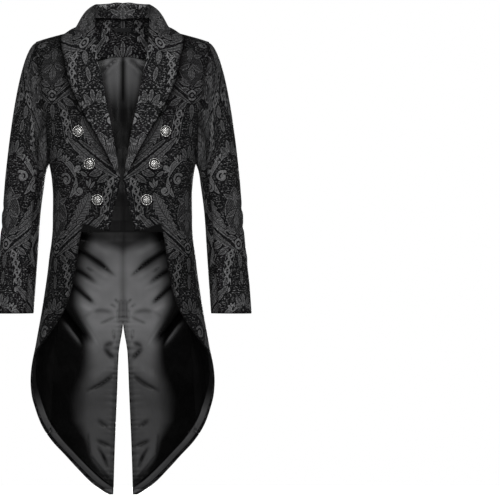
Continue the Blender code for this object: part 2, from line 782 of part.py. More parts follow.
def collar_table(stations, last_row):
    """The collar's rows read at even steps, with the falls turned into signed rows."""
    table = []
    for number, section in enumerate(COLLAR):
        foot_x, foot_fall, edge_x, edge_fall, dx, dy, dz = section
        foot_row = math.copysign(float(row_of(abs(foot_fall))), foot_fall)
        edge_row = math.copysign(float(row_of(abs(edge_fall))), edge_fall)
        table.append((number, foot_x, foot_row, edge_x, edge_row, dx, dy, dz))
    at = np.linspace(0, last_row, stations)
    return [smooth(at, table, column) for column in range(1, 8)]


def collar_grid():
    """Underside of the fall and lapel, from the roll to the outer edge at each station."""
    foot_x, foot_row, edge_x, edge_row, dx, dy, dz = collar_table(COLLAR_STATIONS, len(COLLAR) - 1)
    share = np.linspace(0.0, 1.0, COLLAR_COLUMNS + 1)[None, :]
    x = foot_x[:, None] * (1 - share) + edge_x[:, None] * share
    row = foot_row[:, None] * (1 - share) + edge_row[:, None] * share
    points = over_shoulder(x, row)
    normals = over_shoulder_normal(x, row)
    lift = COLLAR_LIFT + COLLAR_CROWN * np.sin(math.pi * share)
    stand = np.stack([dx, dy, dz], axis=-1)[:, None, :] * ((1 - share) ** 1.5)[..., None]
    return points + normals * lift[..., None] + stand


def stand_grid():
    """Stand of the collar, from the neck seam up to just under the roll."""
    foot_x, foot_row, _, _, dx, dy, dz = collar_table(STAND_STATIONS, STAND_LAST_ROW)
    foot = over_shoulder(foot_x, foot_row)
    lean = np.stack([dx, dy, dz], axis=-1)
    share = np.linspace(0.0, STAND_SHARE, STAND_COLUMNS + 1)[None, :, None]
    clear = np.array([0.0, 0.0, 3 * SEAM])
    half = foot[:, None, :] + lean[:, None, :] * share + clear
    other = half[1:][::-1] * np.array([-1, 1, 1])
    return np.concatenate([other, half])


def build_collar():
    """Two halves of the shawl collar and the stand that lifts them round the neck."""
    points = collar_grid()
    normals = grid_normals(points)
    normals = normals * np.sign(normals[COLLAR_STATIONS // 3, COLLAR_COLUMNS // 2, 2])
    for side, word in SIDES:
        mirror = np.array([side, 1, 1])
        top = (points + normals * LAPEL) * mirror
        cloth_wall(f"collar_{word}", top, points * mirror, BROCADE)
    stand = stand_grid()
    normals = grid_normals(stand)
    middle = len(stand) // 2
    normals = normals * np.sign(normals[middle, 0, 1])
    cloth_wall("collar_stand", stand, stand - normals * CLOTH, BROCADE)


# ---------------------------------------------------------------- half belt and buttons


def build_half_belt():
    """Shaped velvet half belt on the back waist, with pointed ends."""
    reach = HALF_BELT[-1][0]
    x = np.linspace(-reach, reach, BELT_COLUMNS + 1)
    top = smooth(np.abs(x), HALF_BELT, 1)
    bottom = smooth(np.abs(x), HALF_BELT, 2)
    share = np.linspace(0.0, 1.0, BELT_ROWS + 1)[:, None]
    fall = top[None, :] * (1 - share) + bottom[None, :] * share
    row = row_of(fall)
    turn = turn_at(np.repeat(x[None, :], BELT_ROWS + 1, axis=0), row, False)
    torso_wall("half_belt", turn, row, OVERLAY_LIFT + VELVET, VELVET, BELT_CLOTH)


def button_profile(radius, height):
    """Half section of a domed button with a raised rim and a short shank, from its top down."""
    return (
        (0.0, height),
        (radius * 0.50, height * 0.94),
        (radius * 0.80, height * 0.72),
        (radius * 0.90, height * 0.80),
        (radius, height * 0.60),
        (radius * 0.92, height * 0.34),
        (radius * 0.36, height * 0.22),
        (radius * 0.30, 0.0),
        (0.0, 0.0),
    )


def turned(name, profile, sides, place, normal, made_of):
    """Turned piece that stands on a surface at place, along normal."""
    mesh = bpy.data.meshes.new(name)
    edges = [(k, k + 1) for k in range(len(profile) - 1)]
    mesh.from_pydata([(r, 0.0, z) for r, z in profile], edges, [])
    piece = add_object(name, mesh, made_of)
    screw = piece.modifiers.new("turn", "SCREW")
    screw.steps = sides
    screw.render_steps = sides
    screw.use_merge_vertices = True
    screw.merge_threshold = 0.00001
    piece.location = Vector(place)
    piece.rotation_mode = "QUATERNION"
    piece.rotation_quaternion = Vector((0.0, 0.0, 1.0)).rotation_difference(Vector(normal))
    return piece


def torso_place(x, fall, front, lift):
    """Point and normal on the torso form, lift outside it."""
    row = row_of(np.array([fall]))
    turn = turn_at(np.array([x]), row, front)
    normal = torso_normal(turn, row)[0]
    return torso(turn, row)[0] + normal * lift, normal


def cuff_place(side, fall):
    """Point and normal on the back of the upper sleeve."""
    x = float(smooth(fall, SLEEVE, 3)) * math.cos(CUFF_BUTTON_ANGLE)
    y = -float(smooth(fall, SLEEVE, 4)) * math.sin(CUFF_BUTTON_ANGLE)
    centre = Vector((float(smooth(fall, SLEEVE, 1)), float(smooth(fall, SLEEVE, 2)), -fall))
    normal = Vector((x, y, 0.0)).normalized()
    place = centre + Vector((x, y, 0.0)) + normal * BUTTON_LIFT
    mirror = Vector((side, 1, 1))
    return place * mirror, normal * mirror


def build_buttons():
    """Metal buttons of the fronts, the half belt and the cuffs."""
    for side, word in SIDES:
        for number, (x, fall) in enumerate(FRONT_BUTTON_PLACES, 1):
            place, normal = torso_place(side * x, fall, True, BUTTON_LIFT)
            profile = button_profile(*FRONT_BUTTON)
            turned(f"front_button_{word}_{number}", profile, FRONT_BUTTON_SIDES, place, normal, METAL)
        for number, fall in enumerate(CUFF_BUTTON_FALLS, 1):
            place, normal = cuff_place(side, fall)
            profile = button_profile(*CUFF_BUTTON)
            turned(f"cuff_button_{word}_{number}", profile, CUFF_BUTTON_SIDES, place, normal, METAL)
        lift = OVERLAY_LIFT + VELVET + BUTTON_LIFT
        place, normal = torso_place(side * BELT_BUTTON_PLACE[0], BELT_BUTTON_PLACE[1], False, lift)
        profile = button_profile(*BELT_BUTTON)
        turned(f"belt_button_{word}", profile, FRONT_BUTTON_SIDES, place, normal, METAL)


# Colour, roughness and metallic value of each cloth and of the metal
BROCADE = ((0.030, 0.030, 0.032), 0.62, 0.0)
SATIN = ((0.055, 0.055, 0.058), 0.34, 0.0)
BELT_CLOTH = ((0.006, 0.006, 0.007), 0.90, 0.0)
VELVETEEN = ((0.012, 0.012, 0.013), 0.75, 0.0)
METAL = ((0.42, 0.41, 0.39), 0.38, 1.0)


def main():
    for existing in list(bpy.data.objects):
        bpy.data.objects.remove(existing, do_unlink=True)
    collection = bpy.data.collections.new(COLLECTION)
    bpy.context.scene.collection.children.link(collection)
    build_body()
    build_linings()
    build_sleeves()
    build_collar()
    build_half_belt()
    build_buttons()


main()
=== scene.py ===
"""Looks of the steampunk tailcoat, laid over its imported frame.

The cloth of the coat is worked out over the same torso and sleeve forms as the part: each panel is
a fine grid of points on its form, with the creases, seams and rolled edges of the sewn cloth, and
with a damask figure that is stored on the points as distances. Sizes are in metres, and the fall
is the distance down from the neck seam. +X is the wearer's left, -Y the front and +Z up.
"""

from __future__ import annotations

import logging
import math
from collections.abc import Callable, Iterable
from dataclasses import dataclass, replace
from enum import Enum

import bpy
import numpy as np
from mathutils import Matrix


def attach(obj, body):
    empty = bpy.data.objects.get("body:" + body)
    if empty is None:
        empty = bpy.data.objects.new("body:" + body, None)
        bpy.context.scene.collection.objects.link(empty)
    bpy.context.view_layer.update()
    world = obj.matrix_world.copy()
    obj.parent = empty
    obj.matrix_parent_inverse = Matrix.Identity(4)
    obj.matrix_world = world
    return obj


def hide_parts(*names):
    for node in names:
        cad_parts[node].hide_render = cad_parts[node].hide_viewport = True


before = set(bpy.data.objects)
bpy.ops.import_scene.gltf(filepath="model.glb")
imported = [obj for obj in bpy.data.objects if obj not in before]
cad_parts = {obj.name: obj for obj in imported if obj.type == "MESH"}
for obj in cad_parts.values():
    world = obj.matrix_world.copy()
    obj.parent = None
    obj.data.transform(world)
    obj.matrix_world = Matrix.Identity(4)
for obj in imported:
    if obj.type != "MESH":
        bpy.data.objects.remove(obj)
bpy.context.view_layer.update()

LOG = logging.getLogger("tailcoat")
Array = np.ndarray
Pair = tuple[float, float]
Triple = tuple[float, float, float]
Table = tuple[tuple[float, ...], ...]
Socket = bpy.types.NodeSocket
Material = bpy.types.Material
SIDES = ((1, "left"), (-1, "right"))
BODY = "root"
# spacing of the fine grid, fine cells to a coarse cell, tolerance where a fall meets a seam
SPACING = 0.0026
COARSE = 4
NEAR = 1e-4


class Slot(Enum):
    """Material slots of the record."""

    BROCADE = "brocade"
    SATIN = "satin"
    VELVET = "velvet"
    LABEL = "label"
    METAL = "button_metal"


class Held(Enum):
    """Ways in which a sheet of cloth is held."""

    HUNG = "hung"
    FOLDED = "folded"
    LAID = "laid"


# ---------------------------------------------------------------- curves


def smooth(at: Array | float, rows: Table, column: int) -> Array:
    """Reads one column of a table on a smooth curve through its rows that doesn't overshoot.

    Cubic Hermite between two rows; the slope at a row is the harmonic mean of those beside it.

    Args:
        at: places to read, in the unit of the table's first column.
        rows: the table, rising in its first column.
        column: the column to read.

    Returns:
        The values, in the shape of at.
    """
    knots = np.array([row[0] for row in rows])
    values = np.array([row[column] for row in rows])
    steps = np.diff(values) / np.diff(knots)
    rising = steps[:-1] * steps[1:] > 0
    both = np.where(rising, steps[:-1] + steps[1:], 1.0)
    middle = np.where(rising, 2 * steps[:-1] * steps[1:] / both, 0.0)
    slopes = np.concatenate([steps[:1], middle, steps[-1:]])
    at = np.clip(np.asarray(at, float), knots[0], knots[-1])
    low = np.clip(np.searchsorted(knots, at, side="right") - 1, 0, len(knots) - 2)
    span = knots[low + 1] - knots[low]
    t = (at - knots[low]) / span
    start = (2 * t**3 - 3 * t**2 + 1) * values[low] + (t**3 - 2 * t**2 + t) * span * slopes[low]
    end = (3 * t**2 - 2 * t**3) * values[low + 1] + (t**3 - t**2) * span * slopes[low + 1]
    return start + end


def ease(t: Array | float) -> Array:
    """Rises from 0 to 1 as t does, as 3 t squared less 2 t cubed."""
    t = np.clip(t, 0.0, 1.0)
    return t * t * (3 - 2 * t)


def rise(value: Array, start: float, span: float) -> Array:
    """Rises from 0 to 1, eased, over a span from start; the span is minus to rise backwards."""
    return ease((value - start) / span)


def bell(value: Array, middle: float, width: float) -> Array:
    """Bell curve: the exponential of minus the squared share of the width."""
    return np.exp(-(((value - middle) / width) ** 2))


def unit(vectors: Array) -> Array:
    """Each vector divided by its length."""
    return vectors / np.maximum(np.linalg.norm(vectors, axis=-1, keepdims=True), 1e-12)


def grid_normals(points: Array) -> Array:
    """Normals of a grid of points, as the cross product of its column and row directions."""
    return unit(np.cross(np.gradient(points, axis=1), np.gradient(points, axis=0)))


def run_along(points: Array, axis: int = 0) -> Array:
    """Lengths along the lines of points, from 0 at the first."""
    steps = np.linalg.norm(np.diff(points, axis=axis), axis=-1)
    return np.cumsum(np.insert(steps, 0, 0.0, axis=axis), axis=axis)


def even(start: float, end: float, cells: int) -> Array:
    """Evenly spaced values from start to end, with a number of cells between them."""
    return np.linspace(start, end, cells + 1)


def spread(start: Array, end: Array, cells: int) -> Array:
    """Evenly spaced values from start to end, a row for each pair."""
    share = even(0.0, 1.0, cells)
    return start[:, None] * (1 - share) + end[:, None] * share


def filled(values: Array, columns: int) -> Array:
    """Values down the rows of a grid, the same in every column."""
    return np.repeat(values[:, None], columns, axis=1)


def cells_for(width: float, spacing: float = SPACING, multiple: int = COARSE) -> int:
    """Number of cells for a width, a whole multiple of some number."""
    return max(1, round(width / spacing / multiple)) * multiple


# ---------------------------------------------------------------- forms


@dataclass(frozen=True)
class TorsoForm:
    """Hollow form of the body.

    A place on it is a turn (0 at centre back, 0.5 at the side, 1 at centre front, minus on the
    wearer's right) and a row (0 to 1 over the round of the shoulder, then evenly down).
    """

    round_over: float = 0.130
    slope_reach: float = 0.180
    girth_of_turn: float = 0.55
    # fall, half width, depth in front, depth behind, squareness of the ring
    sections: Table = (
        (0.0, 0.225, 0.1, 0.106, 2.4), (0.055, 0.217, 0.102, 0.106, 2.6),
        (0.11, 0.206, 0.106, 0.107, 2.8), (0.185, 0.196, 0.116, 0.111, 2.8),
        (0.25, 0.1865, 0.122, 0.11, 2.65), (0.309, 0.1735, 0.122, 0.104, 2.5),
        (0.35, 0.1665, 0.117, 0.097, 2.4), (0.39, 0.164, 0.11, 0.09, 2.4),
        (0.4538, 0.1645, 0.104, 0.087, 2.4), (0.55, 0.1745, 0.112, 0.107, 2.4),
        (0.65, 0.189, 0.119, 0.126, 2.4), (0.729, 0.203, 0.121, 0.134, 2.4),
        (0.835, 0.2205, 0.122, 0.139, 2.4), (1.1, 0.2215, 0.122, 0.149, 2.4),
    )
    # distance from the middle, height of the shoulder ridge
    ridge: Table = (
        (0.0, 0.061), (0.012, 0.0605), (0.04, 0.052), (0.06, 0.042), (0.078, 0.031),
        (0.095, 0.0175), (0.12, 0.001), (0.147, -0.0065), (0.183, -0.0165), (0.211, -0.026),
        (0.225, -0.032),
    )
    # turn, width in turn, depth
    flutes: Table = ((0.09, 0.05, 0.003), (0.2, 0.05, -0.003), (0.31, 0.05, 0.003))
    flutes_from: float = 0.55
    flutes_over: float = 0.45

    def fall_of(self, row: Array | float) -> Array:
        """Fall of a row: a quarter circle over the shoulder, then straight."""
        over = self.round_over * (1 - np.cos(np.minimum(row, 1.0) * math.pi / 2))
        return over + np.maximum(np.asarray(row) - 1.0, 0.0) * self.round_over * math.pi / 2

    def row_of(self, fall: Array | float) -> Array:
        """The row at a fall, the other way round from fall_of."""
        share = 1 - np.minimum(fall, self.round_over) / self.round_over
        straight = np.maximum(np.asarray(fall) - self.round_over, 0.0)
        return np.arccos(share) / (math.pi / 2) + straight / (self.round_over * math.pi / 2)

    def point(self, turn: Array, row: Array) -> Array:
        """Points of the form: a superellipse ring at each row, hung from the shoulder ridge.

        Args:
            turn: places round the body.
            row: places down the body.

        Returns:
            Points, with a last axis of x, y and z.
        """
        turn, row = np.broadcast_arrays(np.asarray(turn, float), np.asarray(row, float))
        fall = self.fall_of(row)
        half, ahead, behind, squareness = (smooth(fall, self.sections, k) for k in (1, 2, 3, 4))
        across, aft = np.sin(math.pi * turn), np.cos(math.pi * turn)
        x = half * np.sign(across) * np.abs(across) ** (2 / squareness)
        y = np.where(aft > 0, behind, ahead) * np.sin(np.minimum(row, 1.0) * math.pi / 2)
        y = y * np.sign(aft) * np.abs(aft) ** (2 / squareness)
        flute = sum(depth * bell(np.abs(turn), at, wide) for at, wide, depth in self.flutes)
        fullness = rise(fall, self.flutes_from, self.flutes_over)
        swell = 1 + fullness * flute / np.maximum(np.hypot(x, y), 0.05)
        ridge = smooth(np.abs(x), self.ridge, 1) * ease(1 - fall / self.slope_reach)
        return np.stack([x * swell, y * swell, ridge - fall], axis=-1)

    def face(self, turn: Array, row: Array) -> tuple[Array, Array]:
        """Points of the form and its outward normals there."""
        return self.point(turn, row), slope_normals(self.point, turn, row)

    def turn_at(self, x: Array, row: Array, front: Array | bool) -> Array:
        """The turn of the point at a distance from the middle.

        Args:
            x: distances from the middle.
            row: rows of the points.
            front: whether each point is in front.

        Returns:
            The turns, minus where x is.
        """
        fall = self.fall_of(row)
        share = np.clip(np.abs(x) / smooth(fall, self.sections, 1), 0.0, 1.0)
        turn = np.arcsin(share ** (smooth(fall, self.sections, 4) / 2)) / math.pi
        return np.sign(x) * np.where(front, 1 - turn, turn)

    def over_shoulder(self, x: Array, signed_row: Array) -> Array:
        """Points from a distance across and a row that is negative behind the ridge."""
        row = np.abs(signed_row)
        return self.point(self.turn_at(x, row, signed_row >= 0), row)

    def shoulder_face(self, x: Array, signed_row: Array) -> tuple[Array, Array]:
        """The points of over_shoulder and their outward normals."""
        normals = slope_normals(self.over_shoulder, x, signed_row)
        return self.over_shoulder(x, signed_row), -normals

    def in_turn(self, distance: Array | float) -> Array | float:
        """The turn that a distance round the body takes."""
        return distance / self.girth_of_turn

    def round(self, turn: Array) -> Array:
        """The distance round the body that a turn takes."""
        return turn * self.girth_of_turn

    def cloth_down(self, row: Array) -> Array:
        """Length of cloth down to a row, counted so that it is the fall below the shoulder."""
        quarter = self.round_over * math.pi / 2
        return row * quarter - (quarter - self.round_over)


def slope_normals(surface: Callable, first: Array, second: Array) -> Array:
    """Normals of a surface that has two measures, from small steps in each.

    Args:
        surface: gives the points at two measures.
        first: the one measure.
        second: the other.

    Returns:
        The cross product of the two slopes, at length 1.
    """
    along = surface(first + NEAR, second) - surface(first - NEAR, second)
    down = surface(first, second + NEAR) - surface(first, second - NEAR)
    return unit(np.cross(along, down))


FORM = TorsoForm()


@dataclass(frozen=True)
class Seams:
    """Lines that the panels are cut to, on the torso form: falls, then tables by fall."""

    side_top: float = 0.215
    underarm: float = 0.309
    point: float = 0.4538
    waist: float = 0.472
    tail_front: float = 0.770
    side_end: float = 0.948
    lining_end: float = 1.081
    tip: float = 1.0945
    point_drop: float = 0.0167
    # fall, distance from the middle
    back_neck: Table = (
        (0.0, 0.078), (0.0023, 0.073), (0.0099, 0.058), (0.0202, 0.034), (0.0273, 0.0),
    )
    front_edge: Table = (
        (0.0, 0.078), (0.01, 0.0755), (0.041, 0.068), (0.0637, 0.0635), (0.0937, 0.055),
        (0.13, 0.0445), (0.2195, 0.0265), (0.3257, 0.0075), (0.349, 0.0035), (0.385, 0.0105),
        (0.4538, 0.0262), (0.4705, 0.0288),
    )
    side_back: Table = (
        (0.215, 0.179), (0.25, 0.163), (0.309, 0.144), (0.36, 0.132), (0.405, 0.1275),
        (0.5, 0.1335), (0.585, 0.1437), (0.7, 0.158), (0.853, 0.172), (0.948, 0.177),
    )
    vent: Table = (
        (0.6, 0.0), (0.688, 0.0), (0.7, 0.0012), (0.76, 0.0104), (0.853, 0.0142),
        (0.986, 0.0198), (1.0945, 0.023),
    )
    # fall, turn in front, turn behind
    armhole: Table = (
        (0.0, 0.648, 0.352), (0.05, 0.641, 0.356), (0.109, 0.631, 0.366), (0.188, 0.631, 0.38),
        (0.25, 0.613, 0.395), (0.28, 0.596, 0.412), (0.297, 0.566, 0.44), (0.309, 0.5015, 0.4985),
    )
    # fall, turn
    tail_edge: Table = (
        (0.4538, 0.834), (0.5, 0.815), (0.55, 0.811), (0.6, 0.798), (0.65, 0.77), (0.694, 0.716),
        (0.729, 0.641), (0.77, 0.505), (0.81, 0.462), (0.853, 0.43), (0.89, 0.3755), (0.93, 0.313),
        (0.97, 0.2513), (1.01, 0.1787), (1.04, 0.1274), (1.065, 0.0886), (1.081, 0.0602),
        (1.0945, 0.033),
    )

    def armhole_turn(self, row: Array, column: int) -> Array:
        """Turn of the armhole: column 1 in front, 2 behind."""
        return smooth(FORM.fall_of(row), self.armhole, column)

    def front_edge_turn(self, row: Array) -> Array:
        """Turn of the front edge."""
        return FORM.turn_at(smooth(FORM.fall_of(row), self.front_edge, 1), row, True)

    def tail_edge_turn(self, row: Array) -> Array:
        """Turn of the cut edge of the tail."""
        return smooth(FORM.fall_of(row), self.tail_edge, 1)

    def side_back_turn(self, row: Array) -> Array:
        """Turn of the seam between the back and the side body."""
        return FORM.turn_at(smooth(FORM.fall_of(row), self.side_back, 1), row, False)

    def centre_back_turn(self, row: Array) -> Array:
        """Inner edge of the back: the neck, then the centre-back seam, then the vent.

        Args:
            row: rows of the edge.

        Returns:
            Its turns.
        """
        fall = FORM.fall_of(row)
        neck, vent = smooth(fall, self.back_neck, 1), smooth(fall, self.vent, 1)
        return FORM.turn_at(np.where(fall < self.vent[0][0], neck, vent), row, False)

    def hemmed(self, row: Array, upper: Array, end: float) -> Array:
        """An edge down to a fall, and the cut edge of the tail below it."""
        return np.where(FORM.fall_of(row) > end + NEAR, self.tail_edge_turn(row), upper)

    def back_outer_turn(self, row: Array) -> Array:
        """Outer edge of the back: the armhole, then the side-back seam, then the hem."""
        above = FORM.fall_of(row) < self.side_top - NEAR
        upper = np.where(above, self.armhole_turn(row, 2), self.side_back_turn(row))
        return self.hemmed(row, upper, self.side_end)

    def side_outer_turn(self, row: Array) -> Array:
        """Front edge of the side body: the armhole, then the side seam, then the hem."""
        upper = np.where(FORM.fall_of(row) < self.underarm + NEAR, self.armhole_turn(row, 2), 0.5)
        return self.hemmed(row, upper, self.tail_front)

    def front_outer_turn(self, row: Array) -> Array:
        """Outer edge of the front: the armhole, then the side seam."""
        return np.where(FORM.fall_of(row) < self.underarm + NEAR, self.armhole_turn(row, 1), 0.5)


SEAMS = Seams()


def rows_at(keys: list[float], spacing: float = SPACING, multiple: int = COARSE) -> Array:
    """Rows between falls, about a spacing apart along the form.

    Args:
        keys: rising falls that the rows must hold.
        spacing: distance between rows.
        multiple: what the number of rows between two keys is a multiple of.

    Returns:
        The rows.
    """
    pitch = spacing / (FORM.round_over * math.pi / 2)
    marks = [float(FORM.row_of(fall)) for fall in keys]
    pairs = zip(marks, marks[1:])
    parts = [even(low, high, cells_for(high - low, pitch, multiple))[1:] for low, high in pairs]
    return np.concatenate([marks[:1], *parts])


def beside(x: Array, y: Array, start: Pair, end: Pair, bend: float) -> tuple[Array, ...]:
    """Places beside an axis that is bent sideways as a parabola.

    Args:
        x: distances across.
        y: distances down.
        start: where the axis starts.
        end: where it ends.
        bend: how far its middle stands off the straight line.

    Returns:
        Share along the axis, distance off it, distance past its ends, and its length.
    """
    run_x, run_y = end[0] - start[0], end[1] - start[1]
    length = math.hypot(run_x, run_y)
    along = ((x - start[0]) * run_x + (y - start[1]) * run_y) / length**2
    off = ((y - start[1]) * run_x - (x - start[0]) * run_y) / length
    share = np.clip(along, 0.0, 1.0)
    return share, off - bend * 4 * share * (1 - share), (along - share) * length, length


@dataclass(frozen=True)
class Crease:
    """Soft ridge of the cloth, or a trough where its height is minus, from one place to another.

    Its height is a bell across it, and rises and falls along it by an eased ramp from both ends.
    It may bow sideways, and grow narrower to its end by taper.
    """

    start: Pair
    end: Pair
    height: float
    half_width: float
    ramp: float = 0.5
    bow: float = 0.0
    taper: float = 1.0

    def height_at(self, x: Array, down: Array) -> Array:
        """Height of the crease at places across and down.

        Args:
            x: distances across.
            down: distances down.

        Returns:
            Heights, in the shape of x.
        """
        share, off, _, _ = beside(x, down, self.start, self.end, -self.bow)
        width = self.half_width * (1 - share * (1 - self.taper))
        ends = ease(np.minimum(share, 1 - share) / self.ramp)
        return self.height * ends * bell(off, 0.0, width)


def creased(*rows: tuple[float, ...]) -> tuple[Crease, ...]:
    """Creases from rows of numbers.

    Args:
        rows: start, end, height and half width in thousandths, then what else a Crease has.

    Returns:
        The creases.
    """
    return tuple(
        Crease((a / 1000, b / 1000), (c / 1000, d / 1000), height / 1000, half / 1000, *more)
        for a, b, c, d, height, half, *more in rows
    )


def relief(creases: Iterable[Crease], x: Array, down: Array) -> Array:
    """Heights of several creases, added up."""
    return sum((crease.height_at(x, down) for crease in creases), np.zeros_like(x))


# ---------------------------------------------------------------- damask figure

# a distance in millimetres past every edge
FAR = 9.0
Read = tuple[Array, Array | float, Array | float]


@dataclass(frozen=True)
class Leaf:
    """Leaf on a bent axis: half width at a share of its length, less the distance off the axis.

    The half width is the sine of half a turn times the share to a power, so that it is widest at
    full, and is cut into lobes that lean to the tip. Hatched leaves have a net of thin ribs, and
    broad ones a vein and ribs. This and the other shapes are in millimetres from the mirror line
    and the node of the damask.
    """

    start: Pair
    end: Pair
    half_width: float
    bend: float = 0.0
    full: float = 0.5
    lobes: int = 0
    depth: float = 0.0
    veins: bool = True
    hatch: float = 0.0
    veined_from: float = 5.0
    rib_pitch: float = 9.0

    def read(self, x: Array, y: Array) -> Read:
        """Distances of the leaf at places.

        Args:
            x: distances from the mirror line.
            y: distances down from the node.

        Returns:
            Distance inside its edge, and signed distances to its veins and its ribs.
        """
        share, off, past, length = beside(x, y, self.start, self.end, self.bend)
        widest = math.log(0.5) / math.log(self.full)
        width = self.half_width * np.sin(math.pi * share**widest) ** 0.8
        width = width * (1 - self.depth * ((share * self.lobes) % 1.0) ** 1.5)
        inside = width - np.hypot(off, past)
        if self.hatch:
            net = np.sin((x + y) * math.pi / self.hatch) * np.sin((x - y) * math.pi / self.hatch)
            return inside, FAR, net * self.hatch / math.pi
        if not self.veins or self.half_width < self.veined_from:
            return inside, FAR, FAR
        pitch = length / max(2 * self.lobes, round(length / self.rib_pitch), 2)
        ribs = np.sin((share * length - 0.9 * np.abs(off)) * math.pi / pitch) * pitch / math.pi
        return inside, off, np.where(np.abs(off) < 1.2, FAR, ribs)


@dataclass(frozen=True)
class Scroll:
    """Band that winds in to a ball: band half width less the distance from an even spiral."""

    start: Pair
    radius: float
    turns: float
    half_width: float
    start_angle: float
    hand: int = 1
    ball: float = 4.0

    def read(self, x: Array, y: Array) -> Read:
        """Distances of the scroll at places.

        Args:
            x: distances from the mirror line.
            y: distances down from the node.

        Returns:
            Distance inside its edge, and no veins or ribs.
        """
        dx, dy = x - self.start[0], y - self.start[1]
        reach = np.hypot(dx, dy)
        angle = (self.hand * np.arctan2(dy, dx) - math.radians(self.start_angle)) % (2 * math.pi)
        inside = self.ball - reach
        whole = self.turns * 2 * math.pi
        for lap in range(math.ceil(self.turns)):
            wound = angle + 2 * math.pi * lap
            share = np.clip(wound / whole, 0.0, 1.0)
            radius = self.radius * (1 - share) + self.ball * 0.7 * share
            band = self.half_width * (1 - 0.35 * share) - np.abs(reach - radius)
            inside = np.maximum(inside, np.where(wound <= whole, band, -FAR))
        return inside, FAR, FAR


@dataclass(frozen=True)
class Ring:
    """Ring round a dot: the larger of ring and dot."""

    start: Pair
    radius: float
    half_width: float
    dot: float = 0.0

    def read(self, x: Array, y: Array) -> Read:
        """Distance inside the ring or the dot, and no veins or ribs."""
        reach = np.hypot(x - self.start[0], y - self.start[1])
        ring = self.half_width - np.abs(reach - self.radius)
        return np.maximum(ring, self.dot - reach), FAR, FAR


@dataclass(frozen=True)
class Plait:
    """Two strands that cross along a bent axis, with a dot in each eye and a rail on each side."""

    start: Pair
    end: Pair
    swing: float
    pitch: float
    half_width: float
    rail: float
    bend: float = 0.0
    dot: float = 1.6
    rail_half_width: float = 0.9

    def read(self, x: Array, y: Array) -> Read:
        """Distances of the plait at places.

        Args:
            x: distances from the mirror line.
            y: distances down from the node.

        Returns:
            Distance inside its edge, and no veins or ribs.
        """
        share, off, past, length = beside(x, y, self.start, self.end, self.bend)
        phase = share * length / self.pitch
        strand = np.abs(np.abs(off) - self.swing * np.abs(np.sin(math.pi * phase)))
        eye = self.dot - np.hypot(off, ((phase % 1.0) - 0.5) * self.pitch)
        rails = self.rail_half_width - np.abs(np.abs(off) - self.rail)
        inside = np.maximum(np.maximum(self.half_width - strand, rails), eye)
        return inside - np.abs(past), FAR, FAR


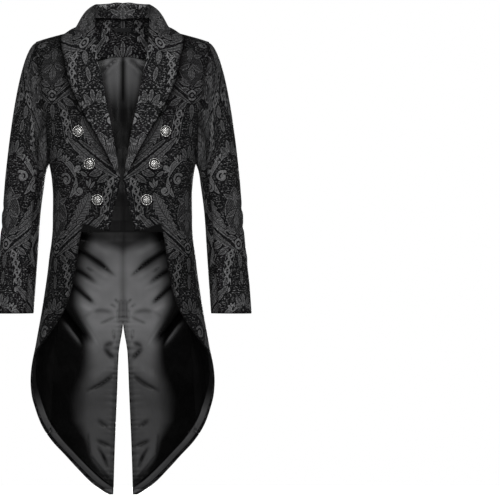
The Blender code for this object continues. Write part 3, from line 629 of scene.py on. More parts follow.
@dataclass(frozen=True)
class Damask:
    """Half-drop repeat of the motif, mirrored about its upright lines.

    Each shape cuts a thin gap into those behind it. Distances are signed and in metres, so that a
    shader finds a sharp edge where they pass 0, between the points of a grid too.
    """

    width: float = 0.340
    height: float = 0.360
    gap: float = 0.0021
    plain: tuple[float, float, float] = (-0.01, 0.009, 0.009)
    # back shapes first; the ogee of plaits and long leaves closes at the node
    motif: tuple[Leaf | Scroll | Ring | Plait, ...] = (
        Plait((22, -4), (43, 94), 5.6, 21, 2.2, 10, -5),
        Leaf((46, 96), (44, 62), 5.5, 2, 0.5, 3, 0.3),
        Leaf((104, 122), (60, 128), 8.5, -4, 0.62),
        Leaf((118, 135), (72, 150), 9, -4, 0.62),
        Leaf((134, 147), (92, 170), 8.5, -4, 0.62),
        Leaf((147, 159), (112, 186), 7.5, -3, 0.62),
        Leaf((158, 170), (134, 196), 6, -2, 0.6),
        Leaf((40, 82), (172, 184), 10, 5, 0.34, 7, 0.22),
        Leaf((66, 86), (164, 166), 5.5, -3, 0.4),
        Leaf((2, -230), (60, -176), 7, -17, veins=False),
        Leaf((60, -186), (40, -136), 6.5, -6, veins=False),
        Scroll((31, -180), 15, 1.3, 3, -150, 1, 4.6),
        Scroll((67, -154), 13, 1.25, 2.8, 110, -1, 4.6),
        Leaf((0, -156), (0, -34), 33, full=0.52, hatch=4.2),
        Leaf((28, -58), (94, -150), 19, 9, 0.6, 7, 0.42),
        Leaf((24, -48), (74, -88), 10, 4, 0.55, 4, 0.36),
        Leaf((6, -128), (32, -138), 6, 3),
        Leaf((0, -146), (0, -108), 7.5, 0, 0.4),
        Leaf((3, -102), (30, -84), 6.5, 3),
        Leaf((0, -98), (0, -58), 9.5, 0, 0.6),
        Leaf((4, -42), (32, -60), 7.5, 2, 0.6),
        Leaf((6, -34), (30, -38), 5.5, 2, 0.6),
        Ring((0, -19), 10.5, 2.4, 4),
        Leaf((0, 2), (0, 40), 7, 0, 0.4),
        Leaf((0, 42), (0, 80), 5.2),
        Leaf((3, 132), (20, 106), 6.5, 2, 0.6),
        Leaf((0, 132), (0, 98), 5.5, 0, 0.6),
        Leaf((2, 134), (38, 122), 5.5, 2, 0.6),
        Leaf((30, -222), (25, -240), 2.8),
        Leaf((31, -222), (36, -240), 2.8),
        Leaf((32, -222), (45, -234), 2.8),
        Scroll((66, -206), 9, 1.05, 2.4, 60, 1, 4.2),
        Leaf((70, -200), (88, -188), 4.5, 1),
        Leaf((92, -158), (85, -180), 3),
        Leaf((93, -158), (95, -184), 3),
        Leaf((94, -158), (106, -176), 3),
    )

    def read(self, across: Array, down: Array) -> Array:
        """Figure, vein and rib distances of the cloth.

        Args:
            across: distances across the cloth from a mirror line of the pattern.
            down: distances down the cloth from a node of the pattern.

        Returns:
            Distances, with a last axis of figure, vein and rib.
        """
        half, high = self.width * 500, self.height * 1000
        folded = np.abs((across + self.width / 2) % self.width - self.width / 2) * 1000
        down = down * 1000
        figure = np.full(folded.shape, -FAR)
        vein, rib = np.full_like(figure, FAR), np.full_like(figure, FAR)
        for x, y in ((half - folded, down - high / 2), (folded, down)):
            for shape in self.motif:
                middle = shape.start[1]
                level = (y - middle + high / 2) % high - high / 2 + middle
                inside, veins, ribs = shape.read(x, level)
                mine = inside > 0
                figure = np.maximum(inside, np.minimum(figure, -inside - self.gap * 1000))
                vein, rib = np.where(mine, veins, vein), np.where(mine, ribs, rib)
        return np.stack([figure, vein, rib], axis=-1) / 1000


DAMASK = Damask()


# ---------------------------------------------------------------- meshes


def cell_faces(index: Array, cells: Array) -> Array:
    """Faces of a grid of point numbers, one for each cell that is wanted."""
    corners = (index[:-1, :-1], index[:-1, 1:], index[1:, 1:], index[1:, :-1])
    return np.column_stack([corner[cells] for corner in corners])


def tube_faces(index: Array) -> Array:
    """Faces of a grid of point numbers whose last column joins its first."""
    after = np.roll(index, -1, axis=1)
    return np.stack([index[:-1], index[1:], after[1:], after[:-1]], axis=-1).reshape(-1, 4)


def rim_faces(fine: Array, coarse: Array, kept: Array, step: int) -> Array:
    """Faces of the rim: fine points of one coarse step, backwards, then the two inner points.

    Args:
        fine: numbers of the outer points.
        coarse: numbers of the inner points.
        kept: which coarse cells are cloth.
        step: fine cells in a coarse one.

    Returns:
        One row of point numbers for each open coarse edge.
    """
    padded = np.pad(kept, 1)
    run = np.arange(step + 1)
    faces = []
    # where the cell beyond the edge lies, the edge's first corner, whether it runs down, its turn
    edges = (((0, 1), (0, 0), 0, True), ((1, 2), (0, 1), 1, True))
    edges += (((2, 1), (1, 0), 0, False), ((1, 0), (0, 0), 1, False))
    for (top, left), (below, right), down, turned in edges:
        beyond = padded[top : top + kept.shape[0], left : left + kept.shape[1]]
        i, j = np.nonzero(kept & ~beyond)
        i, j = i + below, j + right
        outer = fine[i[:, None] * step + run * down, j[:, None] * step + run * (1 - down)]
        ends = [coarse[i, j], coarse[i + down, j + 1 - down]]
        parts = [outer[:, ::-1], *ends] if turned else [outer, *ends[::-1]]
        faces.append(np.column_stack(parts))
    return np.concatenate(faces)


def build_mesh(name: str, points: Array, groups: list[Array]) -> bpy.types.Mesh:
    """Mesh from points and from groups of faces with equal numbers of corners.

    Args:
        name: name of the mesh.
        points: one row of x, y and z for each point.
        groups: arrays of point numbers, one face in a row.

    Returns:
        The mesh, with smooth faces.
    """
    corners = np.concatenate([group.ravel() for group in groups]).astype(np.int32)
    sizes = np.concatenate([np.full(len(group), group.shape[1]) for group in groups])
    mesh = bpy.data.meshes.new(name)
    mesh.vertices.add(len(points))
    mesh.vertices.foreach_set("co", points.astype(np.float32).ravel())
    mesh.loops.add(len(corners))
    mesh.loops.foreach_set("vertex_index", corners)
    mesh.polygons.add(len(sizes))
    mesh.polygons.foreach_set("loop_start", (np.cumsum(sizes) - sizes).astype(np.int32))
    mesh.update(calc_edges=True)
    mesh.validate()
    mesh.shade_smooth()
    return mesh


def store(mesh: bpy.types.Mesh, name: str, values: Array, kind: str = "FLOAT") -> None:
    """Stores a number or a vector for each point of a mesh, under a name."""
    stored = mesh.attributes.new(name, kind, "POINT")
    field = "value" if kind == "FLOAT" else "vector"
    stored.data.foreach_set(field, values.astype(np.float32).ravel())


def add_object(name: str, data: bpy.types.ID) -> bpy.types.Object:
    """Puts a mesh, a light or a camera into the scene, at the origin."""
    thing = bpy.data.objects.new(name, data)
    bpy.context.scene.collection.objects.link(thing)
    return thing


def dress(
    name: str, mesh: bpy.types.Mesh, finishes: list[Material], slot: Slot, *nodes: str
) -> bpy.types.Object:
    """Puts a mesh into the scene as a piece of the coat.

    Args:
        name: name of the piece.
        mesh: its mesh, already in place.
        finishes: its materials.
        slot: material slot of the record; not used.
        nodes: nodes of the frame that it stands for.

    Returns:
        The object.
    """
    piece = add_object(name, mesh)
    for finish in finishes:
        mesh.materials.append(finish)
    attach(piece, BODY)
    if nodes:
        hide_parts(*nodes)
    LOG.info("%s: %d faces", name, len(mesh.polygons))
    return piece


@dataclass(frozen=True)
class Stuff:
    """What a piece is cut from: the materials of its face and back, and its slot."""

    face: Material
    back: Material
    slot: Slot


@dataclass
class Cloth:
    """Grid of cloth: the face that shows, its normals, and its places on the bolt of cloth.

    kept says which coarse cells are cloth, and step how many fine cells one of them has. shade is
    the light left at each point. node is how far down the bolt a node of the damask lies, where
    the face is brocade.
    """

    points: Array
    normals: Array
    bolt: Array
    kept: Array | None = None
    step: int = COARSE
    shade: Array | None = None
    node: float | None = None

    def __post_init__(self) -> None:
        """Whole cloth in even light, where nothing else is given."""
        rows, columns = self.points.shape[:2]
        if self.kept is None:
            self.kept = np.ones(((rows - 1) // self.step, (columns - 1) // self.step), bool)
        if self.shade is None:
            self.shade = np.ones((rows, columns))

    def cells(self) -> Array:
        """Which fine cells are cloth."""
        return np.repeat(np.repeat(self.kept, self.step, 0), self.step, 1)

    def edge(self) -> Array:
        """Which points lie on an edge of the cloth."""
        padded = np.pad(self.cells(), 1).astype(int)
        around = padded[:-1, :-1] + padded[1:, :-1] + padded[:-1, 1:] + padded[1:, 1:]
        return (around > 0) & (around < 4)

    def cell_crosses(self) -> Array:
        """Cross product of the sides of each cell, as long as its area."""
        right, low = np.diff(self.points, axis=1)[:-1], np.diff(self.points, axis=0)[:, :-1]
        return np.cross(right, low)

    def cut_size(self) -> tuple[float, float, float]:
        """Size of the cut that shows, from the lengths of its grid lines.

        Returns:
            Width, length and area; a piece much narrower than its widest row has a mean width.
        """
        area = float((np.linalg.norm(self.cell_crosses(), axis=-1) * self.cells()).sum())
        width = max(float(run_along(self.points, 1)[:, -1].max()), 0.0105)
        length = float(run_along(self.points)[-1].max())
        if area < 0.3 * width * length:
            width = area / (0.35 * length)
        return width, length, min(area, width * length)

    def settle_edges(self, drop: float, seam_shade: float = 0.45) -> None:
        """Lowers the edge points, so that edges look turned and seams sewn, and paints shade along
        them.

        Args:
            drop: how far the edge points go down.
            seam_shade: how much painted shade darkens the cloth along its edges and seams; it
                fades over three cells.
        """
        edge = self.edge()
        self.points = self.points - self.normals * (edge * drop)[..., None]
        for _ in range(3):
            self.shade = self.shade * (1 - seam_shade * edge)
            grown = np.pad(edge, 1)
            edge = grown[:-2, 1:-1] | grown[2:, 1:-1] | grown[1:-1, :-2] | grown[1:-1, 2:] | edge
            seam_shade = seam_shade * 0.62

    def on_both(self, values: Array, behind: Array | None = None) -> Array:
        """Values at the points of the face, then at those of the back.

        Args:
            values: values on the grid of the face.
            behind: values on the back's grid, if it doesn't take the face's own.

        Returns:
            One row for each point.
        """
        behind = values[:: self.step, :: self.step] if behind is None else behind
        width = values.shape[2:]
        return np.concatenate([values.reshape(-1, *width), behind.reshape(-1, *width)])

    def sew(
        self, name: str, thickness: float, stuff: Stuff, held: Held, in_part: bool = True
    ) -> None:
        """Closed sheet of cloth: a fine face that shows, a coarse face behind it, and a rim.

        Args:
            name: name of the piece, before "_sewn", and of the node that it stands for.
            thickness: distance from the face to the back.
            stuff: what it is cut from.
            held: how the cloth is held; not used.
            in_part: whether the part has a node of that name.
        """
        back = (self.points - self.normals * thickness)[:: self.step, :: self.step]
        first, count = self.shade.size, back.shape[0] * back.shape[1]
        fine = np.arange(first).reshape(self.shade.shape)
        coarse = first + np.arange(count).reshape(back.shape[:2])
        rim = rim_faces(fine, coarse, self.kept, self.step)
        groups = [cell_faces(fine, self.cells()), rim, cell_faces(coarse, self.kept)[:, ::-1]]
        facing = (self.cell_crosses() * self.normals[:-1, :-1]).sum(axis=-1)
        if facing[self.cells()].sum() < 0:
            groups = [group[:, ::-1] for group in groups]
        used = np.zeros(first + count, bool)
        for group in groups:
            used[group.ravel()] = True
        number = np.cumsum(used) - 1
        points = self.on_both(self.points, back)[used]
        mesh = build_mesh(f"{name}_sewn", points, [number[group] for group in groups])
        material = np.zeros(len(mesh.polygons), np.int32)
        material[-len(groups[2]) :] = 1
        mesh.polygons.foreach_set("material_index", material)
        corners = np.empty(len(mesh.loops), np.int32)
        mesh.loops.foreach_get("vertex_index", corners)
        bolt = self.on_both(self.bolt)[used][corners]
        layer = mesh.uv_layers.new(name="bolt")
        layer.data.foreach_set("uv", bolt.astype(np.float32).ravel())
        store(mesh, "shade", self.on_both(self.shade)[used])
        if self.node is not None:
            damask = DAMASK.read(self.bolt[..., 0], self.bolt[..., 1] - self.node)
            plain = np.broadcast_to(DAMASK.plain, back.shape)
            store(mesh, "damask", self.on_both(damask, plain)[used], "FLOAT_VECTOR")
        mesh.set_sharp_from_angle(angle=math.radians(60))
        nodes = [name] if in_part else []
        piece = dress(f"{name}_sewn", mesh, [stuff.face, stuff.back], stuff.slot, *nodes)
        width, length, area = self.cut_size()


# a cloth of the left, its name less its side, and what else Cloth.sew takes
Plan = tuple[Cloth, str, float, Stuff, Held] | tuple[Cloth, str, float, Stuff, Held, bool]


def sew_pairs(*plans: Plan) -> None:
    """Sews cloths on the left, then their mirror images on the right.

    Args:
        plans: a plan for each pair.
    """
    for side, word in SIDES:
        mirror = np.array([side, 1, 1])
        for cloth, name, *more in plans:
            one = replace(cloth, points=cloth.points * mirror, normals=cloth.normals * mirror)
            one.sew(f"{name}_{word}", *more)


# ---------------------------------------------------------------- finishes


def toned(colour: Triple, by: float) -> Triple:
    """A colour made lighter or darker."""
    return tuple(by * value for value in colour)


class Bench:
    """Places the shader nodes of one material and links them."""

    def __init__(self, name: str) -> None:
        """Starts a material of that name."""
        self.material = bpy.data.materials.new(name)
        self.material.use_nodes = True
        self.tree = self.material.node_tree
        self.shader = self.tree.nodes["Principled BSDF"]

    def feed(self, socket: Socket, value: object) -> None:
        """Links another socket to a socket, or sets its value."""
        if isinstance(value, Socket):
            self.tree.links.new(value, socket)
        else:
            socket.default_value = (*value, 1.0) if socket.type == "RGBA" else value

    def node(self, kind: str, feeds: dict, output: int | str = 0, **settings: object) -> Socket:
        """Places a node, sets its properties and feeds its inputs.

        Args:
            kind: the node's type, less its first word.
            feeds: a value or another socket for each input, by its name or number.
            output: the output that is wanted.
            settings: the node's properties.

        Returns:
            The output.
        """
        node = self.tree.nodes.new("ShaderNode" + kind)
        for key, value in settings.items():
            setattr(node, key, value)
        for key, value in feeds.items():
            self.feed(node.inputs[key], value)
        return node.outputs[output]

    def math(self, operation: str, first: object, second: object = 0.0) -> Socket:
        """One sum of two values."""
        return self.node("Math", {0: first, 1: second}, operation=operation)

    def times(self, first: object, *others: object) -> Socket:
        """Product of values."""
        for other in others:
            first = self.math("MULTIPLY", first, other)
        return first

    def scale_and_add(self, value: object, by: float, more: float) -> Socket:
        """A value times one number plus another."""
        return self.node("Math", {0: value, 1: by, 2: more}, operation="MULTIPLY_ADD")

    def step(self, value: object, low: float, high: float) -> Socket:
        """Rises from 0 to 1, eased, as a value goes from low to high."""
        feeds = {"Value": value, "From Min": low, "From Max": high}
        return self.node("MapRange", feeds, interpolation_type="SMOOTHSTEP")

    def line(self, distance: object, low: float, high: float) -> Socket:
        """Rises from 0 to 1 away from a line, on both sides of it."""
        return self.step(self.math("ABSOLUTE", distance), low, high)

    def mix(self, share: object, first: object, second: object) -> Socket:
        """Mixes two colours."""
        return self.node("Mix", {"Factor": share, 6: first, 7: second}, 2, data_type="RGBA")

    def blend(self, share: object, first: object, second: object) -> Socket:
        """Mixes two numbers."""
        return self.node("Mix", {0: share, 2: first, 3: second}, data_type="FLOAT")

    def noise(self, places: object, scale: float | Triple, detail: float = 2.0) -> Socket:
        """Noise at places, in as many waves to a metre as its scale says, along each axis."""
        if isinstance(scale, tuple):
            places, scale = self.node("Mapping", {"Vector": places, "Scale": scale}), 1.0
        return self.node("TexNoise", {"Vector": places, "Scale": scale, "Detail": detail})

    def waves(self, places: object, scale: float, axis: str, warp: float) -> Socket:
        """Sine bands across an axis, bent a little by noise."""
        feeds = {"Vector": places, "Scale": scale, "Distortion": warp}
        return self.node("TexWave", feeds, 1, bands_direction=axis)

    def stored(self, name: str, output: str = "Fac") -> Socket:
        """What the points of the mesh store under a name."""
        return self.node("Attribute", {}, output, attribute_name=name)

    def bolt(self) -> Socket:
        """Places on the bolt of cloth, in metres."""
        return self.node("UVMap", {}, uv_map="bolt")

    def own_places(self) -> Socket:
        """Places in the object's own coordinates, in metres."""
        return self.node("TexCoord", {}, "Object")

    def lit(self, colour: object, tone: object) -> Socket:
        """A colour times a tone."""
        return self.node("VectorMath", {0: colour, "Scale": tone}, operation="SCALE")

    def bump(self, height: object, distance: float, strength: float = 1.0) -> None:
        """Feeds a bump from a height to the shader."""
        feeds = {"Distance": distance, "Strength": strength, "Height": height}
        self.feed(self.shader.inputs["Normal"], self.node("Bump", feeds))

    def finish(self, **values: object) -> Material:
        """Feeds the shader's sockets, named with underscores, and returns the material."""
        for key, value in values.items():
            self.feed(self.shader.inputs[key.replace("_", " ")], value)
        return self.material


@dataclass(frozen=True)
class Brocade:
    """Black damask brocade: grey figure with dark veins, on a black ground flecked with slubs."""

    name: str = "brocade_black"
    ground: Triple = (0.0022, 0.0022, 0.0024)
    slub: Triple = (0.076, 0.076, 0.077)
    figure: Triple = (0.043, 0.043, 0.044)
    outline: Triple = (0.068, 0.068, 0.069)
    ground_roughness: float = 0.85
    figure_roughness: float = 0.55
    relief: float = 0.0007
    contour_at: float = 0.0034

    def figure_share(self, bench: Bench, distance: Socket, vein: Socket, rib: Socket) -> Socket:
        """Share of figure in the cloth: 1 inside its edge, less on its veins, ribs and contour.

        Args:
            bench: the material's bench.
            distance: signed distance inside the figure's edge.
            vein: signed distance to its veins.
            rib: signed distance to its ribs.

        Returns:
            The socket of the share.
        """
        inside = bench.step(distance, -0.0003, 0.0004)
        veins, ribs = bench.line(vein, 0.0005, 0.0014), bench.line(rib, 0.0002, 0.0011)
        contour = bench.line(bench.math("SUBTRACT", distance, self.contour_at), 0.0003, 0.0012)
        lines = bench.times(veins, ribs, bench.blend(contour, 0.45, 1.0))
        return bench.times(inside, bench.blend(lines, 0.14, 1.0))

    def flecks(self, bench: Bench, bolt: Socket, distance: Socket) -> Socket:
        """Share of light slub threads, which keep clear of the figure's edge.

        Args:
            bench: the material's bench.
            bolt: places on the bolt.
            distance: signed distance inside the figure's edge.

        Returns:
            The socket of the share.
        """
        fine, broad = bench.noise(bolt, (190, 390, 1), 2.5), bench.noise(bolt, (70, 190, 1), 1.0)
        slub = bench.times(bench.step(fine, 0.50, 0.68), bench.step(broad, 0.30, 0.58))
        return bench.times(slub, bench.step(distance, -0.0012, -0.0040))

    def material(self) -> Material:
        """Builds the shader: the stored distances give the figure, the bolt gives the weave.

        Returns:
            The material.
        """
        bench = Bench(self.name)
        bolt = bench.bolt()
        edge = bench.node("SeparateXYZ", {0: bench.stored("damask", "Vector")})
        outputs = edge.node.outputs
        fray = bench.scale_and_add(bench.noise(bolt, 380.0), 0.0022, -0.0011)
        distance = bench.math("ADD", edge, fray)
        figure = self.figure_share(bench, distance, outputs[1], outputs[2])
        slub = self.flecks(bench, bolt, distance)
        rim = bench.step(distance, 0.0018, 0.0004)
        weave = bench.times(bench.waves(bolt, 260, "X", 1.5), bench.waves(bolt, 330, "Y", 2.0))
        colour = bench.mix(rim, self.figure, self.outline)
        colour = bench.mix(figure, bench.mix(slub, self.ground, self.slub), colour)
        cloudy = bench.scale_and_add(bench.noise(bolt, 11, 3.0), 1.3, 0.35)
        grain = bench.scale_and_add(bench.noise(bolt, (210, 430, 1), 3.0), 3.0, -0.50)
        # tone: random clouds and grain, times the painted shade stored on the points
        tone = bench.times(cloudy, grain, bench.stored("shade"))
        height = bench.math("ADD", figure, bench.times(slub, 0.5))
        bench.bump(bench.math("ADD", height, bench.times(weave, 0.16)), self.relief)
        return bench.finish(
            Base_Color=bench.lit(colour, tone),
            Roughness=bench.blend(figure, self.ground_roughness, self.figure_roughness),
            Specular_IOR_Level=0.030,
            Sheen_Weight=0.006,
            Sheen_Roughness=0.45,
        )


@dataclass(frozen=True)
class Satin:
    """Lining satin: its stored shade paints grey sheen on raised folds and near-black shade in
    hollows.
    """

    name: str = "satin_lining"
    colour: Triple = (0.090, 0.090, 0.092)
    roughness: float = 0.40
    relief: float = 0.0024

    def material(self) -> Material:
        """Builds the shader: fine threads across the bolt, faint random clouds of tone, and the
        painted shade.

        Returns:
            The material.
        """
        bench = Bench(self.name)
        bolt, shade = bench.bolt(), bench.stored("shade")
        threads = bench.noise(bolt, (2600, 220, 1), 1.0)
        pucker = bench.noise(bolt, (34, 16, 1), 2.0)
        height = bench.math("ADD", bench.times(threads, 0.05), bench.times(pucker, 0.9))
        bench.bump(height, self.relief)
        tone = bench.times(bench.scale_and_add(bench.noise(bolt, 14, 2.0), 0.8, 0.6), shade)
        colour = bench.mix(threads, toned(self.colour, 0.8), self.colour)
        return bench.finish(
            Base_Color=bench.lit(colour, tone),
            Roughness=bench.blend(shade, 0.26, self.roughness),
            Specular_IOR_Level=0.035,
            Sheen_Weight=0.003,
            Sheen_Roughness=0.35,
        )


@dataclass(frozen=True)
class Velvet:
    """Cotton velvet: nearly black, with a faint pile."""

    name: str = "velvet_black"
    colour: Triple = (0.0022, 0.0022, 0.0024)

    def material(self) -> Material:
        """Builds the shader: a rough pile from fine noise.

        Returns:
            The material.
        """
        bench = Bench(self.name)
        bolt = bench.bolt()
        pile, brushed = bench.noise(bolt, 1400), bench.noise(bolt, (60, 25, 1))
        bench.bump(pile, 0.0005)
        return bench.finish(
            Base_Color=bench.mix(bench.times(pile, brushed), self.colour, toned(self.colour, 2.4)),
            Roughness=bench.blend(pile, 0.86, 0.98),
            Specular_IOR_Level=0.06,
            Sheen_Weight=0.03,
            Sheen_Roughness=0.30,
        )


@dataclass(frozen=True)
class LabelCloth:
    """Tightly woven black ribbon."""

    name: str = "label_ribbon"
    colour: Triple = (0.0045, 0.0045, 0.0048)

    def material(self) -> Material:
        """Builds the shader: fine ribs across the ribbon.

        Returns:
            The material.
        """
        bench = Bench(self.name)
        ribs = bench.waves(bench.bolt(), 420, "Y", 0.6)
        bench.bump(ribs, 0.0002)
        colour = bench.mix(ribs, self.colour, toned(self.colour, 2.0))
        return bench.finish(Base_Color=colour, Roughness=0.55, Specular_IOR_Level=0.1)


@dataclass(frozen=True)
class Thread:
    """Twisted silk thread for piping and stitches."""

    name: str = "thread_silk"
    colour: Triple = (0.055, 0.055, 0.057)

    def material(self) -> Material:
        """Builds the shader: slight change of tone along the thread.

        Returns:
            The material.
        """
        bench = Bench(self.name)
        tone = bench.noise(bench.own_places(), 700, 1.0)
        colour = bench.mix(tone, toned(self.colour, 0.4), self.colour)
        return bench.finish(Base_Color=colour, Roughness=0.42, Specular_IOR_Level=0.5)


@dataclass(frozen=True)
class AntiqueSilver:
    """Cast white metal, dark in its hollows and rubbed bright on its high places."""

    name: str = "silver_antiqued"
    bright: Triple = (0.43, 0.425, 0.414)
    dark: Triple = (0.014, 0.0135, 0.013)

    def material(self) -> Material:
        """Builds the shader: the stored height of the casting gives the patina.

        Returns:
            The material.
        """
        bench = Bench(self.name)
        pits = bench.noise(bench.own_places(), 900, 3.0)
        worn = bench.math("ADD", bench.stored("raised"), bench.scale_and_add(pits, 0.5, -0.25))
        polish = bench.step(worn, 0.20, 0.86)
        bench.bump(pits, 0.0003, 0.5)
        roughness = bench.blend(polish, 0.60, 0.24)
        colour = bench.mix(polish, self.dark, self.bright)
        return bench.finish(Base_Color=colour, Metallic=0.95, Roughness=roughness)


@dataclass(frozen=True)
class Floor:
    """Plain pale floor."""

    name: str = "floor_pale"
    colour: Triple = (0.86, 0.86, 0.86)

    def material(self) -> Material:
        """Builds the shader: pale, with a trace of mottle.

        Returns:
            The material.
        """
        bench = Bench(self.name)
        mottle = bench.noise(bench.own_places(), 4, 3.0)
        colour = bench.mix(mottle, toned(self.colour, 0.985), self.colour)
        return bench.finish(Base_Color=colour, Roughness=0.75)


class Wardrobe:
    """Every finish of the coat, built once."""

    def __init__(self) -> None:
        """Builds the finishes, and pairs those that share a piece."""
        brocade, satin, velvet = Brocade().material(), Satin().material(), Velvet().material()
        label = LabelCloth().material()
        self.thread, self.silver = Thread().material(), AntiqueSilver().material()
        self.outer = Stuff(brocade, satin, Slot.BROCADE)
        self.doubled = Stuff(brocade, brocade, Slot.BROCADE)
        self.lining = Stuff(satin, satin, Slot.SATIN)
        self.velvet = Stuff(velvet, velvet, Slot.VELVET)
        self.label = Stuff(label, label, Slot.LABEL)


# ---------------------------------------------------------------- body


class Grid:
    """Grid of places on the left of the torso form: turns and rows, then what they give."""

    def __init__(self, turn: Array, row: Array) -> None:
        """Works out the distance from the middle and the fall of each place."""
        self.turn, self.row = turn, row
        self.x, self.fall = np.abs(FORM.point(turn, row)[..., 0]), FORM.fall_of(row)

    @staticmethod
    def between(row: Array, inner: Array, outer: Array, cells: int) -> Grid:
        """Grid of rows between the turns of two edges, with a number of cells across it."""
        return Grid(spread(inner, outer, cells), filled(row, cells + 1))

    def cloth(self, heights: Array, start: Array, *more: object) -> Cloth:
        """Cloth that lies on the form at these places.

        Args:
            heights: distances of its face from the form; inside it they are minus.
            start: distance across the bolt at its first column.
            more: what else a Cloth has.

        Returns:
            The cloth, with its face outwards where the heights are outside the form.
        """
        points, normals = FORM.face(self.turn, self.row)
        bolt = np.stack([start + run_along(points, 1), FORM.cloth_down(self.row)], axis=-1)
        facing = -normals if np.max(heights) < 0 else normals
        return Cloth(points + normals * heights[..., None], facing, bolt, *more)


@dataclass
class BodyPanels:
    """Backs, side bodies and fronts in brocade."""

    finishes: Wardrobe
    thickness: float = 0.0014
    edge_drop: float = 0.0007
    front_split_top: float = 0.45
    # distance down to a node of the damask on each panel, and the side's distance across
    back_node: float = 0.236
    side_node: float = 0.296
    front_node: float = 0.349
    side_shift: float = 0.115
    lapel_reach: float = 0.0105
    # fall, distance from the middle of the lapel's edge
    lapel_edge: Table = (
        (0.012, 0.143), (0.035, 0.141), (0.062, 0.1345), (0.098, 0.129), (0.143, 0.114),
        (0.203, 0.0835), (0.255, 0.0529), (0.329, 0.013),
    )
    # distance from the middle, fall of the collar's edge behind
    collar_edge: Table = ((0.0, 0.0385), (0.045, 0.0335), (0.092, 0.0135), (0.128, 0.0))
    creases: tuple[Crease, ...] = creased(
        (150, 300, 85, 360, 1.6, 12), (165, 360, 110, 385, -1.4, 10),
        (170, 420, 100, 460, 1.8, 14), (178, 500, 120, 600, 1.6, 16),
        (172, 200, 120, 260, 1.5, 14), (150, 620, 165, 880, 2.0, 20),
    )

    def panel(
        self,
        name: str,
        at: Grid,
        start: Array,
        node: float,
        shade: Array | float,
        kept: Array | None = None,
    ) -> Plan:
        """Cuts a panel of the body.

        Args:
            name: its name, less its side.
            at: its places.
            start: distance across the bolt at its first column.
            node: distance down to a node of the damask.
            shade: painted light left at each point, by what lies over it and by how light falls on
                the panel.
            kept: which coarse cells are cloth.

        Returns:
            Its plan.
        """
        shade = shade * self.under_arm(at)
        cloth = at.cloth(relief(self.creases, at.x, at.fall), start, kept, COARSE, shade, node)
        cloth.settle_edges(self.edge_drop)
        return cloth, name, self.thickness, self.finishes.outer, Held.HUNG

    def under_arm(self, at: Grid) -> Array:
        """Shade of the body beside the armhole, deeper towards the underarm."""
        deep = (0.30 + 0.45 * rise(at.fall, 0.15, 0.12)) * rise(at.fall, 0.36, -0.05)
        return 1 - deep * bell(FORM.round(np.abs(at.turn - at.turn[:, -1:])), 0.0, 0.012)

    def under_lapel(self, at: Grid) -> Array:
        """Shade of the front beside the lapel's edge, fading over its reach."""
        beyond = np.maximum(at.x - smooth(at.fall, self.lapel_edge, 1), 0.0) * 0.8
        return 1 - 0.92 * bell(beyond, 0.0, self.lapel_reach) * rise(at.fall, 0.335, -0.03)

    def pressed_edge_highlight(self, at: Grid) -> Array:
        """Painted highlight that the pressed front edge catches, between the lapel and the waist.
        """
        below = rise(at.fall, 0.315, 0.02) * rise(at.fall, 0.462, -0.01)
        return 1 + 0.9 * below * bell(FORM.round(np.abs(at.turn - at.turn[:, :1])), 0.0050, 0.0022)

    def under_collar(self, at: Grid) -> Array:
        """Shade of the back just below the collar's edge."""
        beyond = np.maximum(at.fall - smooth(at.x, self.collar_edge, 1), 0.0)
        return 1 - 0.90 * bell(beyond, 0.0, 0.0055)

    def back_grid(self) -> Grid:
        """Places of the left back."""
        keys = [0.0, SEAMS.side_top, SEAMS.vent[0][0], SEAMS.side_end, SEAMS.lining_end, SEAMS.tip]
        row = rows_at(keys)
        inner, outer = SEAMS.centre_back_turn(row), SEAMS.back_outer_turn(row)
        return Grid.between(row, inner, outer, cells_for(0.172))

    def side_grid(self) -> Grid:
        """Places of the left side body."""
        row = rows_at([SEAMS.side_top, SEAMS.underarm, SEAMS.tail_front, SEAMS.side_end])
        inner, outer = SEAMS.side_back_turn(row), SEAMS.side_outer_turn(row)
        return Grid.between(row, inner, outer, cells_for(0.125))

    def front_grid(self, spacing: float, step: int) -> tuple[Grid, Array]:
        """Grid of the left front, which ends at the cut-away point at its inner edge.

        The grid's inner columns stretch down to the point, and stop there; the outer ones go on.

        Args:
            spacing: distance between its lines.
            step: fine cells in a coarse one.

        Returns:
            Its places, and its coarse cells that are cloth.
        """
        keys = [0.0, SEAMS.underarm, SEAMS.point, SEAMS.waist, 0.650, 0.729, SEAMS.tail_front]
        row = rows_at(keys, spacing, step)
        fall = FORM.fall_of(row)
        inner_cells, outer_cells = (cells_for(width, spacing, step) for width in (0.078, 0.110))
        low = rise(fall, 0.36, SEAMS.point - 0.36)
        dipped = FORM.row_of(np.minimum(fall + SEAMS.point_drop * low, SEAMS.front_edge[-1][0]))
        inner, outer = SEAMS.front_edge_turn(dipped), SEAMS.front_outer_turn(row)
        cut = int(np.argmax(fall > SEAMS.point - NEAR))
        at_point = (inner[cut] - SEAMS.tail_edge[0][1]) / (inner[cut] - 0.5)
        share = self.front_split_top + (at_point - self.front_split_top) * ease(fall / SEAMS.point)
        split = inner + (outer - inner) * share
        split = np.where(fall > SEAMS.point - NEAR, SEAMS.tail_edge_turn(row), split)
        parts = [spread(inner, split, inner_cells), spread(split, outer, outer_cells)[:, 1:]]
        turn = np.concatenate(parts, axis=1)
        dip = SEAMS.point_drop * 0.5 * (1 + np.cos(math.pi * even(0.0, 1.0, inner_cells)))
        level = filled(fall, turn.shape[1])
        level[:, : inner_cells + 1] += dip * (low * (fall < SEAMS.point + NEAR))[:, None]
        kept = np.ones(((len(row) - 1) // step, (turn.shape[1] - 1) // step), bool)
        kept[cut // step :, : inner_cells // step] = False
        return Grid(turn, FORM.row_of(level)), kept

